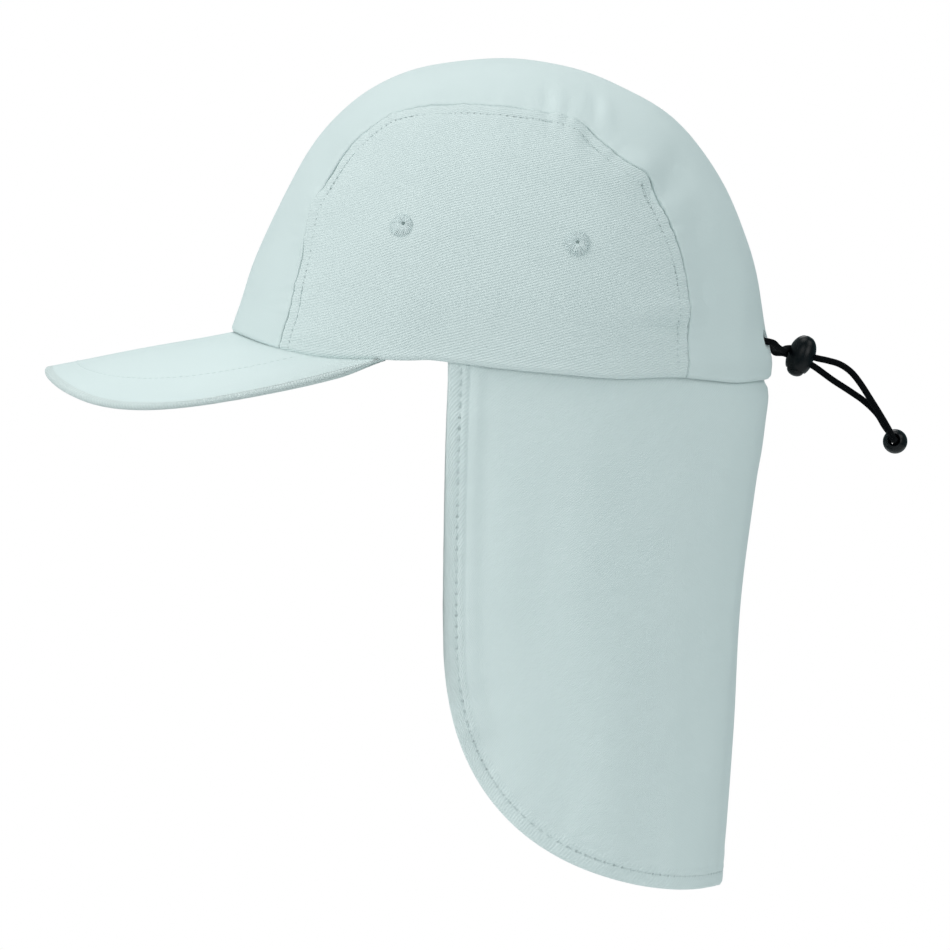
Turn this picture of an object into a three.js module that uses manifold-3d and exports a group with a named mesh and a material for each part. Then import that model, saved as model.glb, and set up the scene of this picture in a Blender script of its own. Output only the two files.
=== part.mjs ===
// A legionnaire cap: a three-panel cotton crown, an arched peak, a neck flap and a rear drawcord.
// Lengths are in millimetres and angles in degrees. +Z is up, the wearer looks along -X and the
// wearer's left is -Y. The origin is the centre of the head opening.
import * as THREE from "three";
import { mergeVertices } from "three/addons/utils/BufferGeometryUtils.js";
import Module from "manifold-3d";

const wasm = await Module();
wasm.setup();

// Crown
const crownLength = 203;
const crownWidth = 164;
const crownHeight = 117.3;
const clothWall = 1.6;
const sideFullness = 2.5;
const acrossFullness = 2;
const seamGap = 0.3;
const rimFade = 24;

// Peak
const peakLength = 70.9;
const peakWidth = 166;
const peakCorner = 77.4;
const peakRounding = 2.5;
const peakArchRadius = 141;
const peakArchStraight = 60;
const peakSlope = 10.6;
const peakRise = 14.2;
const peakReachBack = 55.5;
const peakWall = 1.5;

// Neck flap
const flapDrop = 191;
const flapTop = -4;
const flapFront = 20.7;
const flapOverlap = 6;
const flapWall = 1.4;
const flapCornerAlong = 131;
const flapCornerUp = 104;
const flapCornerRounding = 2.67;
const flapSideLift = 3.7;
const foldsFrom = 0.02;
const foldsFull = 0.7;
const fitGap = 0.9;

// Embroidered eyelets
const eyeletRadius = 4.4;
const eyeletBarrelRadius = 3.2;
const eyeletHoleRadius = 0.9;
const eyeletLip = 0.5;
const eyeletLift = 0.45;

// Drawcord, its slits in the crown and its casing inside
const cordDiameter = 2.5;
const cordSides = 8;
const cordSteps = 84;
const slitRise = 11;
const slitSpread = 17;
const slitWidth = 8;
const slitHeight = 8;
const casingHeight = 11;
const casingWall = 1.2;
const casingAngle = 34;
const strandPlay = 0.4;
const clearance = 0.3;

// Cord lock
const lockLength = 16.1;
const lockWidth = 10.4;
const lockRounding = 2.2;
const lockTilt = 22;
const lockMouth = 2.25;
const strandSpacing = 2.9;
const buttonRadius = 3.3;
const buttonTravel = 1.8;
const buttonBridge = 0.9;
const boreTaper = 1;

// Bead at the end of the cord's loop
const beadRadius = 4.65;
const beadBoreRadius = 1.9;
const beadTurn = 11;
const beadTip = 10;

const halfLength = crownLength / 2;
const halfWidth = crownWidth / 2;

// Side outline of the crown. Turn goes up from the rear, over the top and down to the front, and
// reach is the share of the ellipse of half the length and the whole height.
const crownProfile = [
  { turn: -90, reach: 1 },
  { turn: -14, reach: 0.987 },
  { turn: -2, reach: 0.991 },
  { turn: 1, reach: 0.998 },
  { turn: 4, reach: 0.991 },
  { turn: 8, reach: 0.981 },
  { turn: 17, reach: 0.99 },
  { turn: 30, reach: 1.005 },
  { turn: 51, reach: 1.023 },
  { turn: 65, reach: 1.007 },
  { turn: 80, reach: 0.998 },
  { turn: 91, reach: 0.999 },
  { turn: 103, reach: 1.007 },
  { turn: 118, reach: 1.025 },
  { turn: 128, reach: 1.02 },
  { turn: 136, reach: 1.005 },
  { turn: 142, reach: 0.992 },
  { turn: 149, reach: 0.982 },
  { turn: 155, reach: 0.979 },
  { turn: 161, reach: 0.986 },
  { turn: 167, reach: 0.997 },
  { turn: 173, reach: 1.016 },
  { turn: 185, reach: 1.02 },
  { turn: 270, reach: 1 },
];

// Seam between the centre panel and a side panel: spread is the share of half the width.
const seamLine = [
  { turn: -12, spread: 0.8 },
  { turn: 2, spread: 0.795 },
  { turn: 17, spread: 0.758 },
  { turn: 39, spread: 0.717 },
  { turn: 44.6, spread: 0.7 },
  { turn: 48.4, spread: 0.68 },
  { turn: 55, spread: 0.693 },
  { turn: 64, spread: 0.663 },
  { turn: 69, spread: 0.628 },
  { turn: 90, spread: 0.618 },
  { turn: 103, spread: 0.584 },
  { turn: 118, spread: 0.524 },
  { turn: 143, spread: 0.54 },
  { turn: 152, spread: 0.594 },
  { turn: 161, spread: 0.629 },
  { turn: 168, spread: 0.653 },
  { turn: 185, spread: 0.64 },
];

// Lower edge of the crown behind the peak: along is the share of half the length, rise of the height.
const rimLine = [
  { along: -0.46, rise: 0.0295 },
  { along: -0.3, rise: 0.0325 },
  { along: -0.2, rise: 0.022 },
  { along: 0, rise: 0.0008 },
  { along: 0.2, rise: -0.0156 },
  { along: 0.4, rise: -0.0295 },
  { along: 0.62, rise: -0.0255 },
  { along: 0.74, rise: -0.0345 },
  { along: 0.85, rise: -0.043 },
  { along: 0.94, rise: -0.0365 },
  { along: 1.02, rise: -0.028 },
];

// Plan of the hanging flap: down is the share of its drop, rear, side and front are the shares of
// the lengths that its upper edge has there.
const flapPlan = [
  { down: 0, rear: 1, side: 1, front: 1 },
  { down: 0.03, rear: 1.007, side: 1, front: 1.012 },
  { down: 0.08, rear: 1.007, side: 1.001, front: 1.03 },
  { down: 0.134, rear: 0.996, side: 1.003, front: 1.046 },
  { down: 0.2, rear: 0.972, side: 1.005, front: 1.06 },
  { down: 0.44, rear: 0.904, side: 1.015, front: 1.09 },
  { down: 0.7, rear: 0.868, side: 1.025, front: 1.09 },
  { down: 1, rear: 0.825, side: 1.035, front: 1.09 },
];

// Soft folds of the flap. Along runs from -1 at the left front edge to 1 at the right one, width
// is a share of the same length, and depth is a share of the crown's width.
const flapFolds = [
  { along: -0.9, width: 0.05, depth: -0.004 },
  { along: -0.6, width: 0.12, depth: 0.008 },
  { along: -0.3, width: 0.09, depth: -0.006 },
  { along: 0.08, width: 0.1, depth: 0.016 },
  { along: 0.36, width: 0.08, depth: -0.014 },
  { along: 0.62, width: 0.12, depth: 0.014 },
  { along: 0.9, width: 0.05, depth: -0.008 },
];

// Places of the eyelets on a side panel, as shares of half the crown's length and of its height.
const eyeletPlaces = [
  { name: "front", along: -0.3695, rise: 0.445 },
  { name: "rear", along: 0.2606, rise: 0.391 },
];

// Rounded end of the button, as shares of its radius.
const buttonDome = [
  { width: 0, rise: 0 },
  { width: 0.6, rise: 0.16 },
  { width: 0.9, rise: 0.46 },
  { width: 1, rise: 0.75 },
];

// Route of the drawcord, from the middle of the crown's rear at the height of the slits. It starts
// in the casing on the left, leaves by the left slit, passes the lock, turns through the bead and
// goes back the same way to the casing on the right.
const cordRoute = [
  [-12.4, -36.4, 0],
  [-8.6, -28.4, 0],
  [-6.9, -22, 0],
  [-5.6, -19, -0.1],
  [-2.8, -16.4, -0.3],
  [1.5, -13.2, -1.2],
  [3.4, -9.6, -2.8],
  [5.4, -5.2, -3.8],
  [7.1, -1.2, -3.3],
  [9.2, 0, -3.2],
  [13.25, 0, -4.72],
  [18, 0, -6.7],
  [22.8, -0.4, -7.8],
  [27.3, -1, -9.2],
  [31.5, -1.5, -12.1],
  [35, -1.6, -16.4],
  [38.6, -1.7, -22],
  [42.1, -1.9, -27.6],
  [44.7, -3.8, -32.2],
  [46.1, -5.7, -35],
  [46.9, -6.1, -36.9],
  [47.5, -4.2, -37.6],
  [48.3, 0, -38.3],
  [49.1, 4.2, -39],
  [48.9, 6.1, -38.1],
  [47.5, 6.4, -36.2],
  [44.7, 4.2, -32.6],
  [41.7, 1.9, -28],
  [36.9, 1.6, -23.3],
  [31.5, 1.4, -19.5],
  [24.7, 0.8, -15.1],
  [16.9, 0, -9.6],
  [12.15, 0, -7.38],
  [8.1, 0, -5.7],
  [6.2, 0.9, -5],
  [4.9, 4, -4.9],
  [3.4, 8, -4.7],
  [2.1, 12.2, -3],
  [-2.8, 16.4, -0.9],
  [-5.6, 19, -0.2],
  [-6.9, 22, 0],
  [-8.6, 28.4, 0],
  [-12.4, 36.4, 0],
];
const lockPlace = [12.7, 0, -6.05];
const beadPlace = [48.3, 0, -38.3];

const crownSteps = 34;
const crownColumns = 16;
const sideRows = 9;
const flapColumns = 18;
const flapRows = 12;
const peakColumns = 26;
const peakRows = 4;
const casingSteps = 18;
const roundSides = 18;
const roundSteps = 9;
const traceSteps = 120;
const taperSteps = 40;
const settleSteps = 8;
const halvings = 48;
const flapCrowding = 1.6;
const cutThrough = 10;
const hairStep = 0.05;

const cotton = new THREE.MeshStandardMaterial({ color: 0xdce6e4, roughness: 0.9, metalness: 0 });
const thread = new THREE.MeshStandardMaterial({ color: 0xd2dedc, roughness: 0.8, metalness: 0 });
const elastic = new THREE.MeshStandardMaterial({ color: 0x0d1013, roughness: 0.85, metalness: 0 });
const plastic = new THREE.MeshStandardMaterial({ color: 0x14181c, roughness: 0.45, metalness: 0 });

const radians = THREE.MathUtils.degToRad;
const mix = THREE.MathUtils.lerp;

function steps(count) {
  return Array.from({ length: count + 1 }, (_, index) => index / count);
}

// The value of one column at a place in another, on a smooth curve through the rows.
function along(rows, by, place, column) {
  const last = rows.length - 1;
  let row = 0;
  while (row < last - 1 && rows[row + 1][by] < place) row += 1;
  const slope = (index) => {
    const before = rows[Math.max(0, index - 1)];
    const after = rows[Math.min(last, index + 1)];
    return (after[column] - before[column]) / (after[by] - before[by]);
  };
  const span = rows[row + 1][by] - rows[row][by];
  const t = THREE.MathUtils.clamp((place - rows[row][by]) / span, 0, 1);
  const straight = mix(rows[row][column], rows[row + 1][column], t * t * (3 - 2 * t));
  const leave = slope(row) * span * t * (1 - t) * (1 - t);
  const arrive = slope(row + 1) * span * t * t * (1 - t);
  return straight + leave - arrive;
}

// The place between two ends where a test stops being true.
function edgeOf(from, to, holds) {
  let yes = from;
  let no = to;
  for (let turn = 0; turn < halvings; turn += 1) {
    const middle = (yes + no) / 2;
    if (holds(middle)) yes = middle;
    else no = middle;
  }
  return (yes + no) / 2;
}

// Crown: the outer face at a turn of the side outline and a distance across.
function crownFace(turn, y) {
  const across = Math.min(1, Math.abs(y) / halfWidth) ** acrossFullness;
  const reach = along(crownProfile, "turn", turn, "reach") * (1 - across) ** (1 / sideFullness);
  const x = halfLength * reach * Math.cos(radians(turn));
  const z = crownHeight * reach * Math.sin(radians(turn));
  return new THREE.Vector3(x, y, z);
}

// Share of the crown's side outline that a point of the side view lies at, 1 on the outline.
function outlineShare(x, z) {
  const angle = THREE.MathUtils.radToDeg(Math.atan2(z / crownHeight, x / halfLength));
  const turn = angle < -90 ? angle + 360 : angle;
  return Math.hypot(x / halfLength, z / crownHeight) / along(crownProfile, "turn", turn, "reach");
}

// Half the crown's width at a point of the side view.
function crownSpread(x, z) {
  const share = Math.min(1, outlineShare(x, z));
  return halfWidth * (1 - share ** sideFullness) ** (1 / acrossFullness);
}

// Below 1 inside the crown's outer face, 1 on it.
function crownLevel(x, y, z) {
  return outlineShare(x, z) ** sideFullness + Math.abs(y / halfWidth) ** acrossFullness;
}

function crownNormal(point) {
  const rise = (axis) => {
    const before = point.clone();
    const after = point.clone();
    before[axis] -= hairStep;
    after[axis] += hairStep;
    return crownLevel(after.x, after.y, after.z) - crownLevel(before.x, before.y, before.z);
  };
  return new THREE.Vector3(rise("x"), rise("y"), rise("z")).normalize();
}

function levelNormal(point) {
  return crownNormal(point).setZ(0).normalize();
}

// The point of the crown's outer face on a ray from the centreline, at the height of a surface.
function crownAt(angle, heightAt) {
  const aside = [Math.cos(radians(angle)), Math.sin(radians(angle))];
  const inside = (r) => crownLevel(r * aside[0], r * aside[1], heightAt(r * aside[0], r * aside[1])) < 1;
  const r = edgeOf(0, crownLength, inside);
  return new THREE.Vector3(r * aside[0], r * aside[1], heightAt(r * aside[0], r * aside[1]));
}

// Fall of the peak's arch at a distance across: round in the middle, straight beyond it.
function peakArch(y) {
  const bend = Math.min(Math.abs(y), peakArchStraight);
  const depth = Math.sqrt(peakArchRadius ** 2 - bend ** 2);
  return peakArchRadius - depth + (bend / depth) * (Math.abs(y) - bend);
}

// Upper face of the peak: an arch that falls towards the front.
function peakFace(x, y) {
  return peakRise + Math.tan(radians(peakSlope)) * (x + halfLength) - peakArch(y);
}

function peakNormal(y) {
  const bend = THREE.MathUtils.clamp(y, -peakArchStraight, peakArchStraight);
  const fall = bend / Math.sqrt(peakArchRadius ** 2 - bend ** 2);
  return new THREE.Vector3(-Math.tan(radians(peakSlope)), fall, 1).normalize();
}

const peakEndX = peakReachBack - halfLength;
const peakEndY = edgeOf(0, halfWidth, (y) => crownLevel(peakEndX, y, peakFace(peakEndX, y)) < 1);

function sideRim(x) {
  return crownHeight * along(rimLine, "along", x / halfLength, "rise");
}

// Height of the crown's lower edge: on the peak at the front, free behind it.
function rimHeight(x, y) {
  if (x <= peakEndX) return peakFace(x, y) + seamGap;
  const step = peakFace(peakEndX, y) + seamGap - sideRim(peakEndX);
  const fade = THREE.MathUtils.smoothstep(x, peakEndX, peakEndX + rimFade);
  return sideRim(x) + step * (1 - fade);
}

// The turns where a line over the crown meets the lower edge, at the front and at the rear.
function rimTurns(line) {
  const above = (turn) => {
    const point = line(turn);
    return point.z > rimHeight(point.x, point.y);
  };
  return [edgeOf(90, 200, above), edgeOf(90, -20, above)];
}

// A line over the crown, at a share of the seam's spread and a shift across.
function crownLine(share, shift) {
  return (turn) => crownFace(turn, share * (halfWidth * along(seamLine, "turn", turn, "spread") + shift));
}

function pointsOfLine(line) {
  const [front, rear] = rimTurns(line);
  return steps(crownSteps).map((share) => line(mix(front, rear, share)));
}

// The point one wall inside the outer face: square to the cloth, and along the rim's own height.
function insideOf(point, onRim) {
  if (!onRim) return point.clone().addScaledVector(crownNormal(point), -clothWall);
  const within = point.clone().addScaledVector(levelNormal(point), -clothWall);
  return within.setZ(rimHeight(within.x, within.y));
}

// Closed wall between two grids of points that have the same rows and columns.
function wallBetween(outer, inner) {
  const rows = outer.length;
  const columns = outer[0].length;
  const points = [...outer.flat(), ...inner.flat()];
  const faces = [];
  const at = (row, column) => row * columns + column;
  const under = (row, column) => rows * columns + at(row, column);
  const quad = (a, b, c, d) => faces.push(a, b, c, a, c, d);
  for (let row = 0; row < rows - 1; row += 1) {
    for (let column = 0; column < columns - 1; column += 1) {
      const right = column + 1;
      const next = row + 1;
      quad(at(row, column), at(row, right), at(next, right), at(next, column));
      quad(under(row, column), under(next, column), under(next, right), under(row, right));
    }
  }
  for (let column = 0; column < columns - 1; column += 1) {
    const end = rows - 1;
    quad(at(0, column + 1), at(0, column), under(0, column), under(0, column + 1));
    quad(at(end, column), at(end, column + 1), under(end, column + 1), under(end, column));
  }
  for (let row = 0; row < rows - 1; row += 1) {
    const end = columns - 1;
    quad(at(row, 0), at(row + 1, 0), under(row + 1, 0), under(row, 0));
    quad(at(row + 1, end), at(row, end), under(row, end), under(row + 1, end));
  }
  return facingOut(points, faces);
}

function facingOut(points, faces) {
  let volume = 0;
  for (let index = 0; index < faces.length; index += 3) {
    const [a, b, c] = faces.slice(index, index + 3).map((corner) => points[corner]);
    volume += a.dot(b.clone().cross(c));
  }
  const turned = volume < 0 ? faces.slice().reverse() : faces;
  return new THREE.BufferGeometry().setFromPoints(points).setIndex(turned);
}

function solidOf(geometry) {
  const bare = geometry.clone();
  bare.deleteAttribute("normal");
  bare.deleteAttribute("uv");
  const merged = mergeVertices(bare, 1e-4);
  const vertProperties = merged.getAttribute("position").array;
  const triVerts = new Uint32Array(merged.index.array);
  return new wasm.Manifold(new wasm.Mesh({ numProp: 3, vertProperties, triVerts }));
}

function geometryOf(solid) {
  const mesh = solid.getMesh();
  const position = new THREE.BufferAttribute(new Float32Array(mesh.vertProperties), 3);
  return new THREE.BufferGeometry()
    .setAttribute("position", position)
    .setIndex(new THREE.BufferAttribute(new Uint32Array(mesh.triVerts), 1));
}

function cutBy(geometry, cutters) {
  let solid = solidOf(geometry);
  for (const cutter of cutters) solid = solid.subtract(solidOf(cutter));
  return geometryOf(solid);
}

// Centre panel: one strip from the front rim over the top to the rear rim, with the cord's slits.
function centrePanel() {
  const lines = steps(crownColumns).map((share) => pointsOfLine(crownLine(2 * share - 1, -seamGap / 2)));
  const outer = steps(crownSteps).map((_, step) => lines.map((line) => line[step]));
  const inner = outer.map((row, step) =>
    row.map((point) => insideOf(point, step === 0 || step === crownSteps)),
  );
  return cutBy(wallBetween(outer, inner), [slitCutter(-1), slitCutter(1)]);
}

function slitCutter(side) {
  const inside = (x) => crownLevel(x, slitSpread, slitRise) < 1;
  const point = new THREE.Vector3(edgeOf(0, crownLength, inside), side * slitSpread, slitRise);
  const normal = levelNormal(point);
  const cutter = new THREE.BoxGeometry(cutThrough, slitWidth, slitHeight);
  cutter.rotateZ(Math.atan2(normal.y, normal.x));
  return cutter.translate(point.x, point.y, point.z);
}

// Side panel: filled in between its stretch of the rim and the seam, in the side view.
function sidePanel(side) {
  const seam = pointsOfLine(crownLine(1, seamGap / 2));
  const columns = crownSteps - 2 * sideRows;
  const front = seam.slice(0, sideRows + 1);
  const top = seam.slice(sideRows, sideRows + columns + 1);
  const rear = seam.slice(sideRows + columns).reverse();
  const bottom = steps(columns).map((share) => rimPoint(mix(seam[0].x, seam[crownSteps].x, share)));
  const outer = steps(sideRows).map((v, row) =>
    steps(columns).map((u, column) => {
      const fill = (axis) => {
        const upright = mix(bottom[column][axis], top[column][axis], v);
        const level = mix(front[row][axis], rear[row][axis], u);
        const corners = mix(
          mix(front[0][axis], rear[0][axis], u),
          mix(top[0][axis], top[columns][axis], u),
          v,
        );
        return upright + level - corners;
      };
      const x = fill("x");
      const z = fill("z");
      return new THREE.Vector3(x, side * crownSpread(x, z), z);
    }),
  );
  const inner = outer.map((row, index) => row.map((point) => insideOf(point, index === 0)));
  const holes = eyeletPlaces.map((place) => {
    const radius = eyeletBarrelRadius + clearance;
    const hole = new THREE.CylinderGeometry(radius, radius, cutThrough, roundSides);
    return hole.applyMatrix4(eyeletMatrix(place, side));
  });
  return cutBy(wallBetween(outer, inner), holes);
}

function rimPoint(x) {
  let z = 0;
  for (let turn = 0; turn < settleSteps; turn += 1) z = rimHeight(x, crownSpread(x, z));
  return new THREE.Vector3(x, crownSpread(x, z), z);
}

// Where an eyelet sits: on the middle of the cloth, its axis square to it.
function eyeletMatrix(place, side) {
  const x = place.along * halfLength;
  const z = place.rise * crownHeight;
  const point = new THREE.Vector3(x, side * crownSpread(x, z), z);
  const normal = crownNormal(point);
  const turn = new THREE.Quaternion().setFromUnitVectors(new THREE.Vector3(0, 1, 0), normal);
  const centre = point.addScaledVector(normal, -clothWall / 2);
  return new THREE.Matrix4().compose(centre, turn, new THREE.Vector3(1, 1, 1));
}

// Eyelet: a ring of thread that lines the hole and laps over the cloth on both faces.
function eyelet() {
  const lap = clothWall / 2 + eyeletLift;
  const end = lap + eyeletLip;
  const profile = [
    [eyeletHoleRadius, -end],
    [eyeletRadius, -end],
    [eyeletRadius, -lap],
    [eyeletBarrelRadius, -lap],
    [eyeletBarrelRadius, lap],
    [eyeletRadius, lap],
    [eyeletRadius, end],
    [eyeletHoleRadius, end],
    [eyeletHoleRadius, -end],
  ];
  return new THREE.LatheGeometry(profile.map(([r, h]) => new THREE.Vector2(r, h)), roundSides);
}

// Plan of the peak's edge, from the left end round the tip to the right end, evenly spaced.
function peakOutline() {
  const centreX = peakCorner - peakLength - halfLength;
  const round = steps(traceSteps).map((share) => {
    const angle = (share * Math.PI) / 2;
    const x = centreX - peakCorner * Math.cos(angle) ** (2 / peakRounding);
    return new THREE.Vector3(x, (peakWidth / 2) * Math.sin(angle) ** (2 / peakRounding), 0);
  });
  const taper = steps(taperSteps).slice(1).map((share) => {
    const y = mix(peakWidth / 2, peakEndY, share * share);
    return new THREE.Vector3(mix(centreX, peakEndX, share), y, 0);
  });
  const half = evenly([...round, ...taper], steps(peakColumns / 2));
  const mirrored = half.slice(1).map((point) => point.clone().setY(-point.y)).reverse();
  return [...mirrored, ...half];
}

// Points at given shares of the length of a line of points.
function evenly(points, shares) {
  const reached = [0];
  for (let index = 1; index < points.length; index += 1) {
    reached.push(reached[index - 1] + points[index].distanceTo(points[index - 1]));
  }
  const whole = reached[reached.length - 1];
  return shares.map((share) => {
    const wanted = share * whole;
    let index = 1;
    while (index < points.length - 1 && reached[index] < wanted) index += 1;
    const span = reached[index] - reached[index - 1];
    return points[index - 1].clone().lerp(points[index], (wanted - reached[index - 1]) / span);
  });
}

// Peak cover: a sheet from under the crown's wall out to the edge, at a depth under the top face.
function peakCover(depth) {
  const sheet = (below) =>
    peakOutline().map((edge) => {
      const angle = THREE.MathUtils.radToDeg(Math.atan2(edge.y, edge.x));
      const rim = crownAt(angle, peakFace).setZ(0);
      const root = rim.clone().addScaledVector(rim.clone().normalize(), -clothWall);
      return steps(peakRows).map((share) => {
        const point = root.clone().lerp(edge, share);
        point.z = peakFace(point.x, point.y);
        return point.addScaledVector(peakNormal(point.y), -below);
      });
    });
  return wallBetween(sheet(depth), sheet(depth + peakWall));
}

// Half plan of the flap's outer face at a height, from the rear centre to the front edge.
function flapHalf(height) {
  const inset = clothWall + fitGap;
  const level = Math.max(height, flapTop);
  const frontAngle = edgeOf(0, 180, (angle) => crownAt(angle, () => level).x > -flapFront);
  const under = steps(traceSteps).map((share) => {
    const point = crownAt(share * frontAngle, () => level);
    return point.addScaledVector(levelNormal(point), -inset).setZ(height);
  });
  const down = Math.max(0, flapTop - height) / flapDrop;
  const rearNow = under[0].x * along(flapPlan, "down", down, "rear");
  const frontNow = -flapFront * along(flapPlan, "down", down, "front");
  const side = along(flapPlan, "down", down, "side");
  const scale = (rearNow - frontNow) / (under[0].x + flapFront);
  return under.map((point) => {
    const x = frontNow + (point.x + flapFront) * scale;
    return new THREE.Vector3(x, point.y * side, height);
  });
}

function flapFold(place, down) {
  const depths = flapFolds.map((fold) => fold.depth * Math.exp(-(((place - fold.along) / fold.width) ** 2)));
  const depth = depths.reduce((sum, each) => sum + each, 0);
  return crownWidth * depth * THREE.MathUtils.smoothstep(down, foldsFrom, foldsFull);
}

// Height of the flap's lower edge at a distance along it from its front edge.
function flapHem(distance, halfPath) {
  const bottom = flapTop - flapDrop + flapSideLift * (1 - (distance / halfPath) ** 3);
  const short = Math.max(0, 1 - distance / flapCornerAlong) ** flapCornerRounding;
  return bottom + flapCornerUp * (1 - (1 - short) ** (1 / flapCornerRounding));
}

// Neck flap: one sheet that hangs inside the crown's rim, from the left round the rear to the right.
function neckFlap() {
  const edgeShares = steps(flapColumns).map((share) => 1 - share ** flapCrowding);
  const places = [...edgeShares.map((share) => -share), ...edgeShares.slice(0, -1).reverse()];
  const halfAtTop = flapHalf(flapTop);
  const spans = halfAtTop.slice(1).map((point, index) => point.distanceTo(halfAtTop[index]));
  const halfPath = spans.reduce((sum, span) => sum + span, 0);
  const outer = [];
  const inner = [];
  for (const place of places) {
    const under = evenly(halfAtTop, [Math.abs(place)])[0];
    const top = rimHeight(under.x, under.y) + flapOverlap;
    const bottom = flapHem(halfPath * (1 - Math.abs(place)), halfPath);
    const outerLine = [];
    const innerLine = [];
    for (const share of steps(flapRows)) {
      const height = mix(top, bottom, share);
      const half = flapHalf(height);
      const nearby = [0, -0.01, 0.01].map((shift) => THREE.MathUtils.clamp(Math.abs(place) + shift, 0, 1));
      const [point, before, after] = evenly(half, nearby);
      const run = after.sub(before).normalize();
      const normal = new THREE.Vector3(run.y, -run.x, 0);
      if (place === 0) normal.set(1, 0, 0);
      const down = Math.max(0, flapTop - height) / flapDrop;
      point.addScaledVector(normal, flapFold(place, down));
      const within = point.clone().addScaledVector(normal, -flapWall);
      for (const end of [point, within]) end.y *= Math.sign(place);
      outerLine.push(point);
      innerLine.push(within);
    }
    outer.push(outerLine);
    inner.push(innerLine);
  }
  return wallBetween(outer, inner);
}

// Drawcord casing: a channel of cloth along the rear, open towards the crown's inner face.
function drawcordCasing() {
  const lip = clothWall + fitGap;
  const back = lip + cordDiameter + 2 * clearance;
  const low = slitRise - casingHeight / 2;
  const high = slitRise + casingHeight / 2;
  const outerSection = [
    [lip, low],
    [back + casingWall, low],
    [back + casingWall, high],
    [lip, high],
  ];
  const innerSection = [
    [lip, low + casingWall],
    [back, low + casingWall],
    [back, high - casingWall],
    [lip, high - casingWall],
  ];
  const grid = (section) =>
    steps(casingSteps).map((share) =>
      section.map(([depth, height]) => {
        const point = crownAt(mix(-casingAngle, casingAngle, share), () => height);
        return point.addScaledVector(levelNormal(point), -depth);
      }),
    );
  return wallBetween(grid(outerSection), grid(innerSection));
}

function drawcord() {
  const points = cordRoute.map((place) => new THREE.Vector3(...place));
  const section = new THREE.Shape(
    steps(cordSides).slice(1).map((share) => {
      const angle = share * 2 * Math.PI;
      return new THREE.Vector2(Math.cos(angle), Math.sin(angle)).multiplyScalar(cordDiameter / 2);
    }),
  );
  const extrudePath = new THREE.CatmullRomCurve3(points);
  return new THREE.ExtrudeGeometry(section, { steps: cordSteps, extrudePath });
}

// Half width of the lock's rounded body at a distance from its middle.
function lockReach(place) {
  const share = Math.min(1, Math.abs(place) / (lockLength / 2)) ** lockRounding;
  return (lockWidth / 2) * (1 - share) ** (1 / lockRounding);
}

function turned(profile) {
  const lathe = new THREE.LatheGeometry(profile.map(([r, h]) => new THREE.Vector2(r, h)), roundSides);
  return lathe.rotateX(Math.PI / 2);
}

const strandTop = strandSpacing / 2 + cordDiameter / 2 + clearance;
const strandWidth = cordDiameter + 2 * strandPlay;
const mouthLevel = lockMouth - lockLength / 2;
const buttonTop = strandTop + buttonBridge;
const boreRadius = buttonRadius + clearance;
const boreEnd = buttonTop + buttonTravel + clearance;

// Cord lock barrel: a rounded body with a bore for the button and a cross slot for the strands.
function lockBarrel() {
  const outside = steps(roundSteps).map((share) => mix(mouthLevel, lockLength / 2, share));
  const profile = [
    [0, boreEnd],
    [boreRadius - boreTaper, boreEnd],
    [boreRadius, boreEnd - boreTaper],
    [boreRadius, mouthLevel],
    ...outside.map((place) => [lockReach(place), place]),
  ];
  const slot = new THREE.BoxGeometry(2 * lockWidth, strandWidth, 2 * strandTop);
  return cutBy(turned(profile), [slot]);
}

// Cord lock button: a plunger with a cross slot that clears the strands over its whole travel.
function lockButton() {
  const end = -lockLength / 2;
  const taper = boreTaper + clearance / 2;
  const profile = [
    ...buttonDome.map(({ width, rise }) => [buttonRadius * width, end + buttonRadius * rise]),
    [buttonRadius, buttonTop - taper],
    [buttonRadius - taper, buttonTop],
    [0, buttonTop],
  ];
  const slot = new THREE.BoxGeometry(2 * lockWidth, strandWidth, 2 * strandTop + buttonTravel);
  return cutBy(turned(profile), [slot.translate(0, 0, -buttonTravel / 2)]);
}

// Cord end bead: a ball with a bore that the cord's loop turns through.
function endBead() {
  const profile = steps(roundSteps).map((share) => {
    const angle = (share - 0.5) * Math.PI;
    return [beadRadius * Math.cos(angle), beadRadius * Math.sin(angle)];
  });
  const bore = new THREE.CylinderGeometry(beadBoreRadius, beadBoreRadius, 4 * beadRadius, roundSides);
  return cutBy(turned(profile).rotateX(Math.PI / 2), [bore]);
}

function piece(name, geometry, material) {
  const mesh = new THREE.Mesh(geometry, material);
  mesh.name = name;
  return mesh;
}

const cap = new THREE.Group();
cap.add(piece("crown_centre_panel", centrePanel(), cotton));
cap.add(piece("peak_top_cover", peakCover(0), cotton));
cap.add(piece("peak_under_cover", peakCover(peakWall + clearance), cotton));
cap.add(piece("neck_flap", neckFlap(), cotton));
cap.add(piece("drawcord_casing", drawcordCasing(), cotton));

for (const [sideName, side] of [["left", -1], ["right", 1]]) {
  cap.add(piece(`side_panel_${sideName}`, sidePanel(side), cotton));
  for (const place of eyeletPlaces) {
    const ring = piece(`eyelet_${place.name}_${sideName}`, eyelet(), thread);
    ring.applyMatrix4(eyeletMatrix(place, side));
    cap.add(ring);
  }
}

const cordGroup = new THREE.Group();
cordGroup.position.copy(crownAt(0, () => slitRise));
cordGroup.add(piece("drawcord", drawcord(), elastic));

const lock = new THREE.Group();
lock.position.set(...lockPlace);
lock.rotation.y = radians(lockTilt);
lock.add(piece("cord_lock_barrel", lockBarrel(), plastic));
lock.add(piece("cord_lock_button", lockButton(), plastic));
cordGroup.add(lock);

const bead = piece("cord_end_bead", endBead(), plastic);
bead.position.set(...beadPlace);
bead.rotation.set(radians(-beadTip), 0, radians(-beadTurn));
cordGroup.add(bead);
cap.add(cordGroup);

export default cap;
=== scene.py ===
import math

import bmesh
import bpy
import numpy as np
from mathutils import Matrix, Vector, kdtree


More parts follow.
